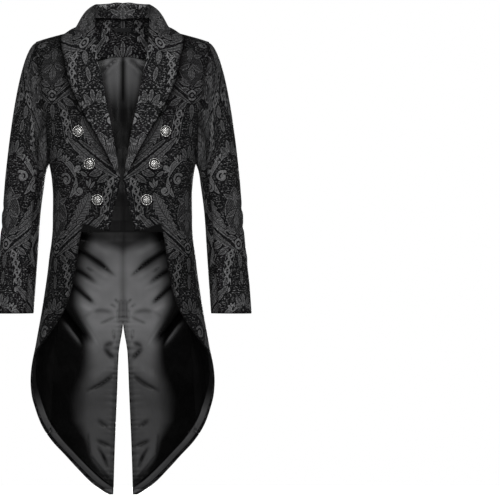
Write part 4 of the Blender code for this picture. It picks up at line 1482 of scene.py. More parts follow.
    def build(self) -> None:
        """Cuts and sews the three pairs of panels."""
        at = self.back_grid()
        back = self.panel("back", at, at.x[:, :1], self.back_node, self.under_collar(at))
        side = self.panel("side", self.side_grid(), self.side_shift, self.side_node, 1.0)
        at, kept = self.front_grid(SPACING, COARSE)
        # painted shade: the fronts are drawn darker than the back and sides, darker again on the
        # tails, and in the lapel's shadow
        shade = self.under_lapel(at) * (0.84 - 0.12 * rise(at.fall, 0.48, 0.05))
        shade = shade * self.pressed_edge_highlight(at)
        front = self.panel("front", at, at.x[:, :1], self.front_node, shade, kept)
        sew_pairs(back, side, front)


# ---------------------------------------------------------------- linings


@dataclass
class Linings:
    """Satin linings, the facings in brocade and the blank label, where the inside shows."""

    finishes: Wardrobe
    body: BodyPanels
    thickness: float = 0.0010
    lift: float = 0.0022
    slack: float = 0.0058
    label_thickness: float = 0.0007
    hem_facing: float = 0.0080
    vent_facing: float = 0.0020
    yoke: float = 0.0880
    neck_lift: float = 0.0049
    label_lift: float = 0.0061
    # fall, distance from the middle to which the tail lining catches the light
    lit_edge: Table = (
        (0.47, 0.076), (0.5, 0.084), (0.53, 0.1), (0.56, 0.106), (0.6, 0.11), (0.64, 0.114),
        (0.66, 0.108), (0.69, 0.096), (0.73, 0.087), (0.775, 0.085), (0.805, 0.088),
        (0.835, 0.099), (0.861, 0.107), (0.89, 0.11), (0.917, 0.111), (0.938, 0.101),
        (0.964, 0.09), (1.0, 0.079), (1.033, 0.062), (1.067, 0.036), (1.081, 0.022),
    )
    # painted highlights that long ridges catch, beside and beyond the lit middle
    lights: tuple[Crease, ...] = creased(
        (152, 676, 98, 746, 420, 4, 0.4, 0.0, 0.7), (20, 536, 85, 508, 140, 12, 0.4),
        (30, 600, 90, 560, 100, 9, 0.4), (40, 640, 100, 604, 100, 9, 0.4),
        (40, 700, 90, 672, 120, 11, 0.4),
    )
    # fall, half width of the opening between the lapels
    opening: Table = ((0.06, 0.054), (0.135, 0.044), (0.188, 0.028), (0.25, 0.015), (0.32, 0.005))
    pleat: tuple[Crease, ...] = creased(
        (0, 60, 0, 180, -5, 2.2, 0.3), (12, 70, 13, 240, 3, 8, 0.3),
        (10, 88.5, 49, 113.5, -4.6, 3.4, 0.3, 0.003, 0.8), (18, 96, 46, 120, 2.4, 5, 0.4),
        (60, 100, 46, 330, -4, 11, 0.4), (30, 150, 33, 420, 3, 14, 0.4),
    )
    drag: tuple[Crease, ...] = creased(
        (136, 489, 30, 562, -6.4, 7.6, 0.3, 0.0, 0.6), (70, 533, 14, 579, -5, 3, 0.45),
        (110, 478, 15, 530, 4.4, 11, 0.35), (98, 538, 20, 590, 3.2, 7.5, 0.35),
        (136, 540, 50, 602, -6.2, 8.2, 0.45, 0.0, 0.4), (92, 550, 68, 567, -3.6, 3.4, 0.4),
        (112, 573, 40, 612, 3.6, 8, 0.35), (142, 572, 62, 650, -6.2, 9, 0.45, 0.0, 0.4),
        (92, 618, 70, 641, -3.4, 3.6, 0.4), (116, 634, 60, 668, 3.6, 9, 0.35),
        (156, 626, 70, 742, -7, 11.5, 0.3, 0.0, 0.6), (148, 676, 96, 746, 7, 4.6, 0.35),
        (104, 670, 50, 756, 3.6, 5, 0.35), (100, 674, 16, 668, -2.6, 6, 0.3, -0.0125),
        (58, 690, 16, 672, -2.4, 3.6, 0.3), (50, 742, 15, 780, -5, 4.6, 0.4),
        (50, 745, 20, 732, -4.2, 4.8, 0.45), (96, 850, 13.5, 798, -4.4, 4.6, 0.35, 0.0078),
        (90, 826, 20, 786, 2.6, 11, 0.4), (64, 914, 34, 938, -4, 4.6, 0.4),
        (68, 961, 22, 980, -4.2, 4.2, 0.4, 0.003), (64, 976, 35, 1022, -4, 3.6, 0.4),
        (52, 995, 33, 1037, -3.4, 3.2, 0.4), (85, 946, 79, 1004, -2.4, 2.4, 0.2),
        (80, 998, 24, 1068, -2.4, 2.4, 0.2), (116, 820, 108, 960, 2.6, 14),
        (5.5, 626, 5.5, 694, -4.2, 3.2, 0.3), (21, 627, 10, 641, -3.2, 2.4, 0.4),
        (15, 650, 11, 690, -3.2, 2.2, 0.4), (32, 640, 15, 652, -2.4, 2.8, 0.4),
        (24, 698, 20, 732, -3.8, 2.4, 0.4),
    )

    def inside(
        self,
        name: str,
        at: Grid,
        heights: Array,
        painted_sheen: Array,
        kept: Array | None = None,
        step: int = 2,
    ) -> Plan:
        """Cuts a lining for the inside of the form.

        Args:
            name: its name, less its side.
            at: its places.
            heights: how far each point stands off into the coat.
            painted_sheen: painted sheen and shade at each point, stored as its shade.
            kept: which coarse cells are cloth.
            step: fine cells in a coarse one.

        Returns:
            Its plan.
        """
        depth = self.lift + self.thickness + np.maximum(heights, 0.0002)
        cloth = at.cloth(-depth, 0.0, kept, step, painted_sheen)
        cloth.settle_edges(0.0005, 0.18)
        return cloth, name, self.thickness, self.finishes.lining, Held.HUNG

    def gap_to_hem(self, at: Grid) -> Array:
        """Distance in from the hem facing."""
        return FORM.round(SEAMS.tail_edge_turn(at.row) - at.turn) - self.hem_facing

    def hem_roll(self, at: Grid) -> Array:
        """Height of the loose fold over the hem facing, which rises to it and drops behind it."""
        share = self.gap_to_hem(at) / 0.016
        return 0.0050 * ease(share) * rise(share, 1.25, -0.25) * rise(at.fall, 0.80, 0.06)

    def puckers(self, at: Grid) -> Array:
        """Small waves of the lining along the vent, uneven in pitch, dying away from the edge.

        Args:
            at: places of the lining.

        Returns:
            Their heights.
        """
        round_it = 2 * math.pi * at.fall
        wave = np.sin(round_it / 0.0137 + 1.9 * np.sin(round_it / 0.117))
        swell = 0.0036 * (0.6 + 0.4 * np.sin(round_it / 0.061)) * rise(at.fall, 0.62, 0.05)
        return swell * wave * np.exp(-(at.x - smooth(at.fall, SEAMS.vent, 1)) / 0.010)

    def hollows(self, heights: Array) -> Array:
        """Light on folds of the given heights: little in the troughs, more on the ridges."""
        trough = np.clip(-heights / 0.0056, 0.0, 1.0) ** 0.85
        return 1 - 0.95 * trough + 0.45 * ease(heights / 0.0070)

    def soft_shadow(self, at: Grid) -> Array:
        """Light left beside the deep troughs of the tail, which throw wide, faint shadows."""
        wide = [replace(c, half_width=2.3 * c.half_width) for c in self.drag if c.height < -0.004]
        return 1 - 0.42 * np.clip(-relief(wide, at.x, at.fall) / 0.0065, 0.0, 1.0)

    def slack_at(self, at: Grid) -> Array:
        """How far the tail's lining hangs off the cloth, from nothing at its sewn edges.

        Args:
            at: places of the lining.

        Returns:
            Its heights.
        """
        away = at.x - smooth(at.fall, SEAMS.vent, 1)
        open_from = rise(at.fall, 0.60, 0.05)
        held = (ease(away / 0.012) * open_from + 1 - open_from) * ease(self.gap_to_hem(at) / 0.010)
        return self.slack * held * rise(at.fall, SEAMS.waist, 0.025)

    def tail_painted_sheen(self, at: Grid) -> Array:
        """Painted sheen and shade of the tail lining: grey between the middle and its lit edge,
        black outside it.

        The top band, under the waist seam, is dark too, and the fold over the hem is lit.

        Args:
            at: places of the lining.

        Returns:
            Painted sheen and shade, from 0 to about 1.
        """
        x, fall, gap = at.x, at.fall, self.gap_to_hem(at)
        width = 0.036 + 0.032 * bell(fall, 0.85, 0.06) - 0.016 * rise(fall, 0.94, 0.03)
        lit = 1 - 0.985 * ease((x - smooth(fall, self.lit_edge, 1) + 0.6 * width) / width)
        lit = lit * (0.17 + 0.83 * rise(fall + 0.42 * np.minimum(x, 0.065), 0.502, 0.028))
        lit = lit * (1.06 - 0.76 * rise(fall, 0.63, 0.25)) + relief(self.lights, x, fall)
        low = rise(fall, 0.84, 0.06)
        band = ease(gap / 0.003) * rise(gap, 0.017, -0.004) * low
        behind = rise(gap, 0.014, 0.004) * rise(gap, 0.044, -0.016) * low
        return lit * (1 - 0.85 * behind) * (1 - band) + 0.36 * band

    def tail(self) -> Plan:
        """Cuts the lining of the tail, with the drag folds that hang from the waist.

        Returns:
            Its plan.
        """
        row = rows_at([SEAMS.waist, 0.600, SEAMS.side_end, SEAMS.lining_end], multiple=2)
        fall, seam = FORM.fall_of(row), SEAMS.side_back_turn(row)
        outer = np.where(fall > SEAMS.side_end - NEAR, SEAMS.tail_edge_turn(row), seam)
        outer = outer - FORM.in_turn(self.hem_facing * rise(fall, 0.93, 0.018))
        cells = cells_for(0.165, multiple=2)
        at = Grid.between(row, SEAMS.centre_back_turn(row), outer, cells)
        folds = relief(self.drag, at.x, at.fall) + self.puckers(at)
        heights = self.slack_at(at) + folds * rise(at.fall, SEAMS.waist, 0.02) + self.hem_roll(at)
        painted_sheen = self.tail_painted_sheen(at) * self.hollows(folds) * self.soft_shadow(at)
        return self.inside("tail_lining", at, heights, painted_sheen)

    def back(self) -> Plan:
        """Cuts the lining of the upper back, with half of the centre pleat.

        Returns:
            Its plan.
        """
        row = rows_at([self.yoke, SEAMS.side_top, SEAMS.waist], 0.0021, 2)
        outer, cells = SEAMS.back_outer_turn(row), cells_for(0.150, 0.0017, 2)
        at = Grid.between(row, np.zeros_like(row), outer, cells)
        folds = relief(self.pleat, at.x, FORM.cloth_down(at.row))
        ends = rise(at.fall, self.yoke, 0.012) * rise(at.fall, SEAMS.waist, -0.03)
        heights = self.slack * ease((at.turn[:, -1:] - at.turn) / 0.04) * ends + folds
        # painted shade: the lining darkens downwards and in the lapels' shadow, and lightens a
        # little lower down
        lapel_shadow = rise(at.x - smooth(at.fall, self.opening, 1), -0.014, 0.014)
        painted_sheen = self.hollows(folds) * 0.66 * (1.0 - 0.90 * rise(at.fall, 0.112, 0.075))
        painted_sheen = painted_sheen * (1 - 0.75 * lapel_shadow) + 0.09 * rise(at.fall, 0.33, 0.10)
        return self.inside("back_lining", at, heights, painted_sheen)

    def side_body(self) -> Plan:
        """Cuts the lining of the side body, down to its hem.

        Returns:
            Its plan.
        """
        at = self.body.side_grid()
        inset = FORM.in_turn(self.hem_facing) * rise(at.fall, SEAMS.tail_front, 0.02)
        at = Grid(at.turn - inset * even(0.0, 1.0, at.turn.shape[1] - 1), at.row)
        folds = relief(self.drag, at.x, at.fall) * 0.6
        near_front = rise(at.turn, 0.5, -0.03) * rise(at.fall, 0.50, 0.03)
        held = np.maximum(near_front, rise(at.fall, 0.77, 0.03))
        heights = (self.slack_at(at) + folds) * held + self.hem_roll(at)
        # painted shade: the side lining is nearly black above the tails, and takes the tail
        # lining's painted sheen below
        painted_sheen = self.tail_painted_sheen(at) * rise(at.fall, 0.70, 0.05) + 0.012
        return self.inside("side_lining", at, heights, painted_sheen, step=COARSE)

    def front(self) -> Plan:
        """Cuts the lining of the front, set back from its front edge.

        Returns:
            Its plan.
        """
        at, kept = self.body.front_grid(0.0052, 2)
        turn = at.turn - FORM.in_turn(0.004) * even(1.0, 0.0, at.turn.shape[1] - 1)
        row = at.row - FORM.row_of(0.004) * 0.06 * rise(at.fall, 0.43, 0.02) * (turn > 0.8)
        first = 2 * int(np.argmax(at.fall[::2, -1] >= 0.0637))
        at = Grid(turn[first:], row[first:])
        # painted shade: the front lining is drawn at 0.35 of the satin's light
        return self.inside("front_lining", at, 0 * at.x, 0 * at.x + 0.35, kept[first // 2 :])

    def strip(self, name: str, keys: list[float], width: float, at_hem: bool) -> Plan:
        """Cuts a narrow strip of the outer cloth, turned in over an edge of the tail.

        Args:
            name: its name, less its side.
            keys: falls of its ends.
            width: its width, inwards from the hem or outwards from the vent.
            at_hem: whether it lies at the hem, as a node of the part, or else at the vent.

        Returns:
            Its plan.
        """
        row = rows_at(keys)
        inner, outer = SEAMS.centre_back_turn(row), SEAMS.tail_edge_turn(row)
        if at_hem:
            inner = np.maximum(outer - FORM.in_turn(width), inner)
        else:
            outer = inner + FORM.in_turn(width)
        crown = 0.0006 * np.sin(even(0.0, math.pi, 4))
        depth = filled(0 * row, 5) + (self.lift + self.thickness + 0.0006 + crown)
        # painted shade: the turned-in strips are drawn at 0.42 of their light
        light = np.full(depth.shape, 0.42)
        cloth = Grid.between(row, inner, outer, 4).cloth(-depth, 0.03, None, 2, light, 0.0)
        cloth.settle_edges(0.0004, 0.2)
        return cloth, name, self.thickness, self.finishes.doubled, Held.HUNG, at_hem

    def neck_rows(self, x: Array) -> Array:
        """Row of the back neck seam, or of the shoulder seam past it."""
        fall, across = np.array(SEAMS.back_neck[::-1]).T
        return np.maximum(FORM.row_of(np.interp(np.abs(x), across, fall)), 0.02)

    def neck_cloth(self, x: Array, top: Array, low: float, cells: int, lift: float) -> Cloth:
        """Cloth inside the back of the neck, from a top edge down to a level bottom edge.

        Args:
            x: distances across of its columns.
            top: rows of its top edge.
            low: row of its bottom edge.
            cells: number of cells down it.
            lift: distance of its face from the form.

        Returns:
            The cloth, in even light.
        """
        share = even(0.0, 1.0, cells)[:, None]
        row = -(top * (1 - share) + low * share)
        x = np.repeat(x[None, :], cells + 1, axis=0)
        points, normals = FORM.shoulder_face(x, row)
        bolt = np.stack([x, FORM.cloth_down(-row)], axis=-1)
        return Cloth(points - normals * lift, -normals, bolt, step=2)

    def neck(self) -> None:
        """Back-neck facing in the outer cloth, and the blank label on it."""
        x = even(-0.100, 0.100, cells_for(0.20, multiple=2))
        low, cells = float(FORM.row_of(self.yoke)), cells_for(0.09, multiple=2)
        facing = self.neck_cloth(x, self.neck_rows(x), low, cells, self.neck_lift)
        # painted light: the facing is drawn 1.35 times as light as the other brocade
        facing.shade, facing.node = facing.shade * 1.35, -0.040
        facing.settle_edges(0.0004)
        facing.sew("neck_facing", self.thickness, self.finishes.doubled, Held.LAID)
        x = even(-0.020, 0.020, cells_for(0.04, 0.0020, 2))
        (top, low), cells = FORM.row_of(np.array([0.0400, 0.0470])), cells_for(0.012, 0.0011, 2)
        label = self.neck_cloth(x, np.full_like(x, top), low, cells, self.label_lift)
        label.settle_edges(0.0004)
        label.sew("neck_label", self.label_thickness, self.finishes.label, Held.LAID)

    def build(self) -> None:
        """Cuts and sews every lining and facing."""
        hem = self.strip("hem_facing", [SEAMS.waist, SEAMS.tip], self.hem_facing, True)
        vent = self.strip("vent_facing", [0.690, 1.088], self.vent_facing, False)
        sew_pairs(self.back(), self.tail(), self.side_body(), self.front(), hem, vent)
        self.neck()


# ---------------------------------------------------------------- sleeves


@dataclass
class Sleeves:
    """Upper and under sleeves of brocade, with a cuff vent at the back seam.

    A place on a sleeve is a fall and a column of its ring, 0 at the shoulder tip and then down
    the front.
    """

    finishes: Wardrobe
    thickness: float = 0.0014
    edge_drop: float = 0.0008
    head_reach: float = 0.034
    tuck: float = 0.0018
    column_width: float = 0.0117
    # fall, centre across, centre fore and aft, half width, half depth
    sections: Table = (
        (0.349, 0.23, 0.0, 0.0472, 0.058), (0.43, 0.2385, 0.004, 0.0452, 0.054),
        (0.52, 0.2455, 0.002, 0.0462, 0.052), (0.6, 0.2525, -0.012, 0.0478, 0.051),
        (0.664, 0.257, -0.024, 0.048, 0.05),
    )
    # rows, then falls, of the armhole at the ring's columns down to the underarm
    armhole_rows: tuple[float, ...] = (0.0, 0.12, 0.25, 0.36, 0.42, 0.55, 0.68, 0.8213, 1.0)
    armhole_falls: tuple[float, ...] = (0.170, 0.215, 0.250, 0.280, 0.297, 0.309)
    ring_columns: int = 28
    front_seam: int = 10
    back_seam: int = 21
    # height of the shoulder tip and of the underarm, and how the sleeve leaves the armhole there
    head_top: float = -0.032
    head_bottom: float = -0.309
    leaves_top: Triple = (1.0, 0.0, -0.32)
    leaves_bottom: Triple = (0.25, 0.0, -1.0)
    # angle round the arm and fall, both in thousandths
    creases: tuple[Crease, ...] = creased(
        (-900, 405, 900, 430, -2, 9, 0.4), (-1300, 440, 300, 425, 2, 12, 0.4),
        (-1100, 470, 800, 452, -2.2, 8, 0.4), (200, 330, 1300, 385, -1.6, 10, 0.4),
        (-700, 520, 900, 545, 1.6, 12, 0.4), (900, 220, 1500, 330, -2, 11),
    )

    def armhole(self, column: Array) -> tuple[Array, Array]:
        """The armhole at the ring's columns.

        Args:
            column: columns of the ring.

        Returns:
            Turns and rows.
        """
        knots = np.concatenate([self.armhole_rows, FORM.row_of(np.array(self.armhole_falls))])
        half, column = self.ring_columns / 2, column % self.ring_columns
        row = np.interp(np.minimum(column, self.ring_columns - column), np.arange(half + 1), knots)
        front, behind = SEAMS.armhole_turn(row, 1), SEAMS.armhole_turn(row, 2)
        return np.where(column <= half, front, behind), row

    def ring(self, fall: Array, column: Array) -> Array:
        """Points of the sleeve's rings: ellipses whose middles follow the arm.

        Args:
            fall: distances down of the rings.
            column: their columns.

        Returns:
            The points.
        """
        angle = 2 * math.pi * column / self.ring_columns
        across, fore, wide, deep = (smooth(fall, self.sections, k) for k in (1, 2, 3, 4))
        x, y = across + wide * np.cos(angle), fore - deep * np.sin(angle)
        return np.stack([x, y, -fall + 0 * x], axis=-1)

    def form(self, column: Array) -> Array:
        """Points of a left sleeve at the given columns of its rings.

        From the armhole to the first full ring each column is a cubic Bezier curve that leaves
        the armhole outwards and arrives along the arm; below it the rings follow the table.

        Args:
            column: columns, of which there are ring_columns in a whole ring.

        Returns:
            The points.
        """
        start, normal = FORM.face(*self.armhole(column))
        into_hole = unit(np.cross(np.gradient(start, axis=0), normal))
        centre = np.array([0.200, 0.0, -0.170])
        into_hole = into_hole * np.sign((into_hole * (centre - start)).sum(axis=1, keepdims=True))
        tucked = start - into_hole * self.tuck - normal * (self.thickness + 0.0004)
        height = (start[:, 2:] - self.head_bottom) / (self.head_top - self.head_bottom)
        low, high = np.array(self.leaves_bottom), np.array(self.leaves_top)
        leaves = unit(low + (high - low) * np.clip(height, 0.0, 1.0) ** 0.6)
        top, bottom = self.sections[0][0], self.sections[-1][0]
        first_ring = self.ring(np.full(len(column), top), column)
        span = np.linalg.norm(first_ring - start, axis=1, keepdims=True)
        out = start + leaves * np.minimum(self.head_reach, 0.3 * span)
        into = first_ring - unit(np.array([0.10, 0.0, -0.995])) * 0.45 * span
        t = even(0.0, 1.0, cells_for(0.20))[:, None, None]
        head = tucked * (1 - t) ** 3 + out * 3 * t * (1 - t) ** 2 + into * 3 * t**2 * (1 - t)
        arm = self.ring(even(top, bottom, cells_for(0.315))[1:, None], column[None, :])
        return np.concatenate([head + first_ring * t**3, arm])

    def panel(self, name: str, first: float, last: float, across: float) -> Plan:
        """Cuts a sleeve panel.

        Args:
            name: its name, less its side.
            first: first column of the ring.
            last: last column, which may pass the end of the ring.
            across: column that the pattern's mirror line runs down.

        Returns:
            Its plan.
        """
        wide = (last - first) * self.column_width
        column = even(first, last, cells_for(wide))
        points = self.form(np.concatenate([[first - 0.2], column, [last + 0.2]]))
        normals = grid_normals(points)
        middle = np.array([*self.sections[-1][1:3], -self.sections[-1][0]])
        normals = normals * np.sign(((points[-1] - middle) * normals[-1]).sum())
        points, normals = points[:, 1:-1], normals[:, 1:-1]
        angle = (column - self.ring_columns * (column > 14)) * 2 * math.pi / self.ring_columns
        fall = -points[..., 2]
        height = relief(self.creases, np.broadcast_to(angle, fall.shape), fall)
        points = points + normals * height[..., None]
        down, run = run_along(points).mean(axis=1), run_along(points, 1)
        start = (first - across) * self.column_width
        bolt = np.stack([start + run * wide / run[:, -1:], filled(down, len(column))], axis=-1)
        # painted shade beside the armhole seam, and the sleeve drawn lighter towards the cuff
        light = (1 - 0.60 * bell(down, 0.0, 0.010)) * (0.92 + 0.20 * ease(down / 0.30))
        shade = filled(light, len(column))
        cloth = Cloth(points, normals, bolt, shade=shade, node=0.10)
        cloth.settle_edges(self.edge_drop)
        return cloth, name, self.thickness, self.finishes.outer, Held.HUNG

    def build(self) -> None:
        """Cuts and sews both sleeves."""
        whole, front, back = self.ring_columns, self.front_seam, self.back_seam
        upper = self.panel("upper_sleeve", back, whole + front, whole + 4.0)
        sew_pairs(upper, self.panel("under_sleeve", front, back, 15.5))


# ---------------------------------------------------------------- collar


@dataclass
class Collar:
    """Shawl collar and lapels, rolled over the neck, on a short stand.

    A place on it is a number of its sections, counted from centre back, and a share from its foot
    at the neck to its edge.
    """

    finishes: Wardrobe
    thickness: float = 0.0022
    stand_thickness: float = 0.0014
    lift: float = 0.0014
    crown: float = 0.0030
    roll: float = 0.0030
    flare: float = 0.0028
    bulge: float = 0.0050
    # foot: distance across, fall (minus behind); edge: the same; how the roll stands off the foot
    sections: Table = (
        (0.0, -0.0273, 0.0, -0.035, 0.0, 0.012, 0.0402),
        (0.034, -0.0202, 0.045, -0.03, -0.002, 0.012, 0.0362),
        (0.06, -0.0085, 0.092, -0.01, -0.006, 0.009, 0.0322),
        (0.0775, 0.0008, 0.128, 0.0025, -0.013, 0.0, 0.0262),
        (0.0735, 0.018, 0.143, 0.012, -0.009, -0.004, 0.018),
        (0.068, 0.041, 0.141, 0.035, -0.005, -0.006, 0.009),
        (0.0625, 0.068, 0.1345, 0.062, -0.002, -0.006, 0.003),
        (0.0545, 0.0965, 0.129, 0.098, 0.0, -0.005, 0.0),
        (0.0445, 0.131, 0.114, 0.143, 0.0, -0.005, 0.0),
        (0.0315, 0.19, 0.0835, 0.203, 0.0, -0.005, 0.0),
        (0.0195, 0.25, 0.0529, 0.255, 0.0, -0.004, 0.0),
        (0.0075, 0.323, 0.013, 0.329, 0.0, -0.002, 0.0),
    )
    stand_last: int = 5
    stand_share: float = 0.93
    node: float = 0.265
    mirror_line: float = 0.035
    roll_cells: int = 8
    roll_angle: float = math.radians(165)

    def table(self, at: Array) -> list[Array]:
        """The sections at places along the collar, with falls turned into signed rows.

        Args:
            at: numbers of sections, which may lie between two.

        Returns:
            The columns of the table.
        """
        rows = np.column_stack([np.arange(len(self.sections)), self.sections])
        rows[:, (2, 4)] = np.sign(rows[:, (2, 4)]) * FORM.row_of(np.abs(rows[:, (2, 4)]))
        return [smooth(at, rows, column) for column in range(1, 8)]

    def leaf(self, at: Array, share: Array) -> tuple[Array, Array]:
        """Fall and lapel: over the form from foot to edge, raised by the roll.

        Args:
            at: places along the collar.
            share: shares from foot to edge.

        Returns:
            Points of its top, and normals.
        """
        foot_x, foot_row, edge_x, edge_row, dx, dy, dz = (part[:, None] for part in self.table(at))
        x, row = foot_x * (1 - share) + edge_x * share, foot_row * (1 - share) + edge_row * share
        points, normals = FORM.shoulder_face(x, row)
        share = np.clip(share, 0, 1)
        lift = self.lift + self.crown * np.sin(math.pi * share)
        lift = lift + self.flare * rise(share, 0.55, 0.45)
        lift = lift + self.bulge * np.sin(2 * math.pi * share) * bell(at[:, None], 3.0, 1.0)
        stand = np.stack(np.broadcast_arrays(dx, dy, dz), axis=-1)
        points = points + normals * lift[..., None] + stand * ((1 - share) ** 1.5)[..., None]
        normals = grid_normals(points)
        normals = normals * np.sign(normals[len(at) // 3, share.shape[1] // 2, 2])
        return points + normals * self.thickness, normals

    def halves(self) -> None:
        """Sews both halves: the leaf, then a half-round roll over its inner edge."""
        at = even(0.0, len(self.sections) - 1, cells_for(0.56))
        flat = np.broadcast_to(even(0.0, 1.0, cells_for(0.070)), (len(at), cells_for(0.070) + 1))
        width = run_along(self.leaf(at, flat)[0], 1)[:, -1]
        radius = np.minimum(self.roll, 0.22 * width)
        top, normals = self.leaf(at, flat + (1 - flat) * (radius / width)[:, None])
        up, out = normals[:, None, 0], unit(top[:, None, 0] - top[:, None, 1])
        swing = even(self.roll_angle, 0.0, self.roll_cells)[:-1, None]
        arm = up * np.cos(swing) + out * np.sin(swing)
        rolled = top[:, None, 0] + (arm - up) * radius[:, None, None]
        top = np.concatenate([rolled, top], axis=1)
        normals = np.concatenate([unit(arm), normals], axis=1)
        along, across = run_along(top[:, 12]), run_along(top, 1) - self.mirror_line
        bolt = np.stack([across, filled(along, top.shape[1])], axis=-1)
        # painted light: the collar is drawn lighter than the body's brocade, a little less at the
        # shoulders, more on the lower lapels
        tone = 1.45 - 0.22 * rise(at, 2, 2) + 0.30 * rise(at, 8, 2)
        shade = filled(tone, top.shape[1])
        cloth = Cloth(top, normals, bolt, shade=shade, node=self.node)
        # painted shade along the collar's edges; then the roll's cells keep their undarkened light
        cloth.settle_edges(0.0007, 0.55)
        cloth.shade[:, : self.roll_cells] = shade[:, : self.roll_cells]
        sew_pairs((cloth, "collar", self.thickness, self.finishes.doubled, Held.FOLDED))

    def stand(self) -> None:
        """Sews the stand, from the neck seam up under the roll, in one piece round the neck."""
        foot_x, foot_row, _, _, *lean = self.table(even(0.0, self.stand_last, cells_for(0.19)))
        share = even(0.0, self.stand_share, cells_for(0.040))[:, None]
        foot = FORM.over_shoulder(foot_x, foot_row)[:, None] + np.array([0.0, 0.0, 0.0006])
        half = foot + np.stack(lean, axis=-1)[:, None] * share
        points = np.concatenate([half[1:][::-1] * np.array([-1, 1, 1]), half])
        normals, middle = grid_normals(points), len(points) // 2
        normals = -normals * np.sign(normals[middle, 0, 1])
        points = points + normals * self.stand_thickness
        along, down = run_along(points[:, 0]), 0.150 - run_along(points, 1)
        bolt = np.stack([filled(along - along[middle], points.shape[1]), down], axis=-1)
        # painted light: the stand is drawn lighter, and much lighter towards its top under the
        # roll
        shade = np.broadcast_to(1.30 + 2.2 * rise(share[:, 0], 0.66, 0.20), points.shape[:2])
        cloth = Cloth(points, normals, bolt, shade=shade, node=self.node)
        cloth.settle_edges(0.0004, 0.10)
        cloth.sew("collar_stand", self.stand_thickness, self.finishes.doubled, Held.FOLDED)

    def build(self) -> None:
        """Sews the collar."""
        self.halves()
        self.stand()


# ---------------------------------------------------------------- half belt and buttons


@dataclass
class HalfBelt:
    """Velvet half belt with pointed ends, edged with a fine twisted cord."""

    finishes: Wardrobe
    thickness: float = 0.0020
    lift: float = 0.0008
    crown: float = 0.0010
    cord: float = 0.0007
    cord_drop: float = 0.0004
    twist: float = 0.0034
    cord_steps: int = 420
    # distance from the middle, fall of the top edge, fall of the bottom edge
    outline: Table = (
        (0.0, 0.3889, 0.4406), (0.05, 0.386, 0.442), (0.085, 0.379, 0.4435),
        (0.1017, 0.3762, 0.4437), (0.117, 0.39, 0.426), (0.1274, 0.4035, 0.407),
    )

    def face(self, x: Array, share: Array) -> tuple[Array, Array]:
        """The belt's face: the form, lifted, with a soft crown.

        Args:
            x: distances from the middle.
            share: shares from the top edge down to the bottom edge.

        Returns:
            Points and normals.
        """
        top, bottom = (smooth(np.abs(x), self.outline, column) for column in (1, 2))
        row = FORM.row_of(top * (1 - share) + bottom * share)
        points, normals = FORM.face(FORM.turn_at(x, row, False), row)
        swell = self.crown * (1 - np.abs(2 * share - 1) ** 6)
        return points + normals * (self.lift + self.thickness + swell)[..., None], normals

    def edging(self) -> None:
        """Lays the twisted cord round the belt's edge: two strands in a helix about its edge."""
        lower = np.linspace(-self.outline[-1][0], self.outline[-1][0], self.cord_steps)
        x = np.concatenate([lower, lower[-2:0:-1]])
        points, normals = self.face(x, 1.0 * (np.arange(len(x)) < self.cord_steps))
        points = points - normals * self.cord_drop
        along = unit(np.roll(points, -1, axis=0) - np.roll(points, 1, axis=0))
        aside = unit(np.cross(along, normals))

        def about(angle: Array) -> Array:
            """Directions about the edge at angles, which have an axis more than the edge."""
            upright, level = np.cos(angle)[..., None], np.sin(angle)[..., None]
            return normals[:, None] * upright + aside[:, None] * level

        sides = about(even(0.0, 2 * math.pi, 6)[None, :-1])
        index = np.arange(sides.shape[0] * 6).reshape(-1, 6)
        faces = tube_faces(np.concatenate([index, index[:1]]))[:, [0, 3, 2, 1]]
        for strand in range(2):
            turn = run_along(points)[:, None] / self.twist * 2 * math.pi + strand * math.pi
            tube = points[:, None] + (about(turn) * 0.55 + sides * 0.62) * self.cord
            name = f"belt_cord_{strand + 1}"
            mesh = build_mesh(name, tube.reshape(-1, 3), [faces])
            dress(name, mesh, [self.finishes.thread], Slot.VELVET)

    def build(self) -> None:
        """Sews the half belt."""
        reach = self.outline[-1][0]
        x = even(-reach, reach, cells_for(2 * reach, 0.0021))
        x, share = np.broadcast_arrays(x, even(0.0, 1.0, cells_for(0.055, 0.0021))[:, None])
        points, normals = self.face(x, share)
        cloth = Cloth(points, normals, np.stack([x, share * 0.06], axis=-1))
        cloth.settle_edges(0.0008)
        cloth.sew("half_belt", self.thickness, self.finishes.velvet, Held.LAID)
        self.edging()


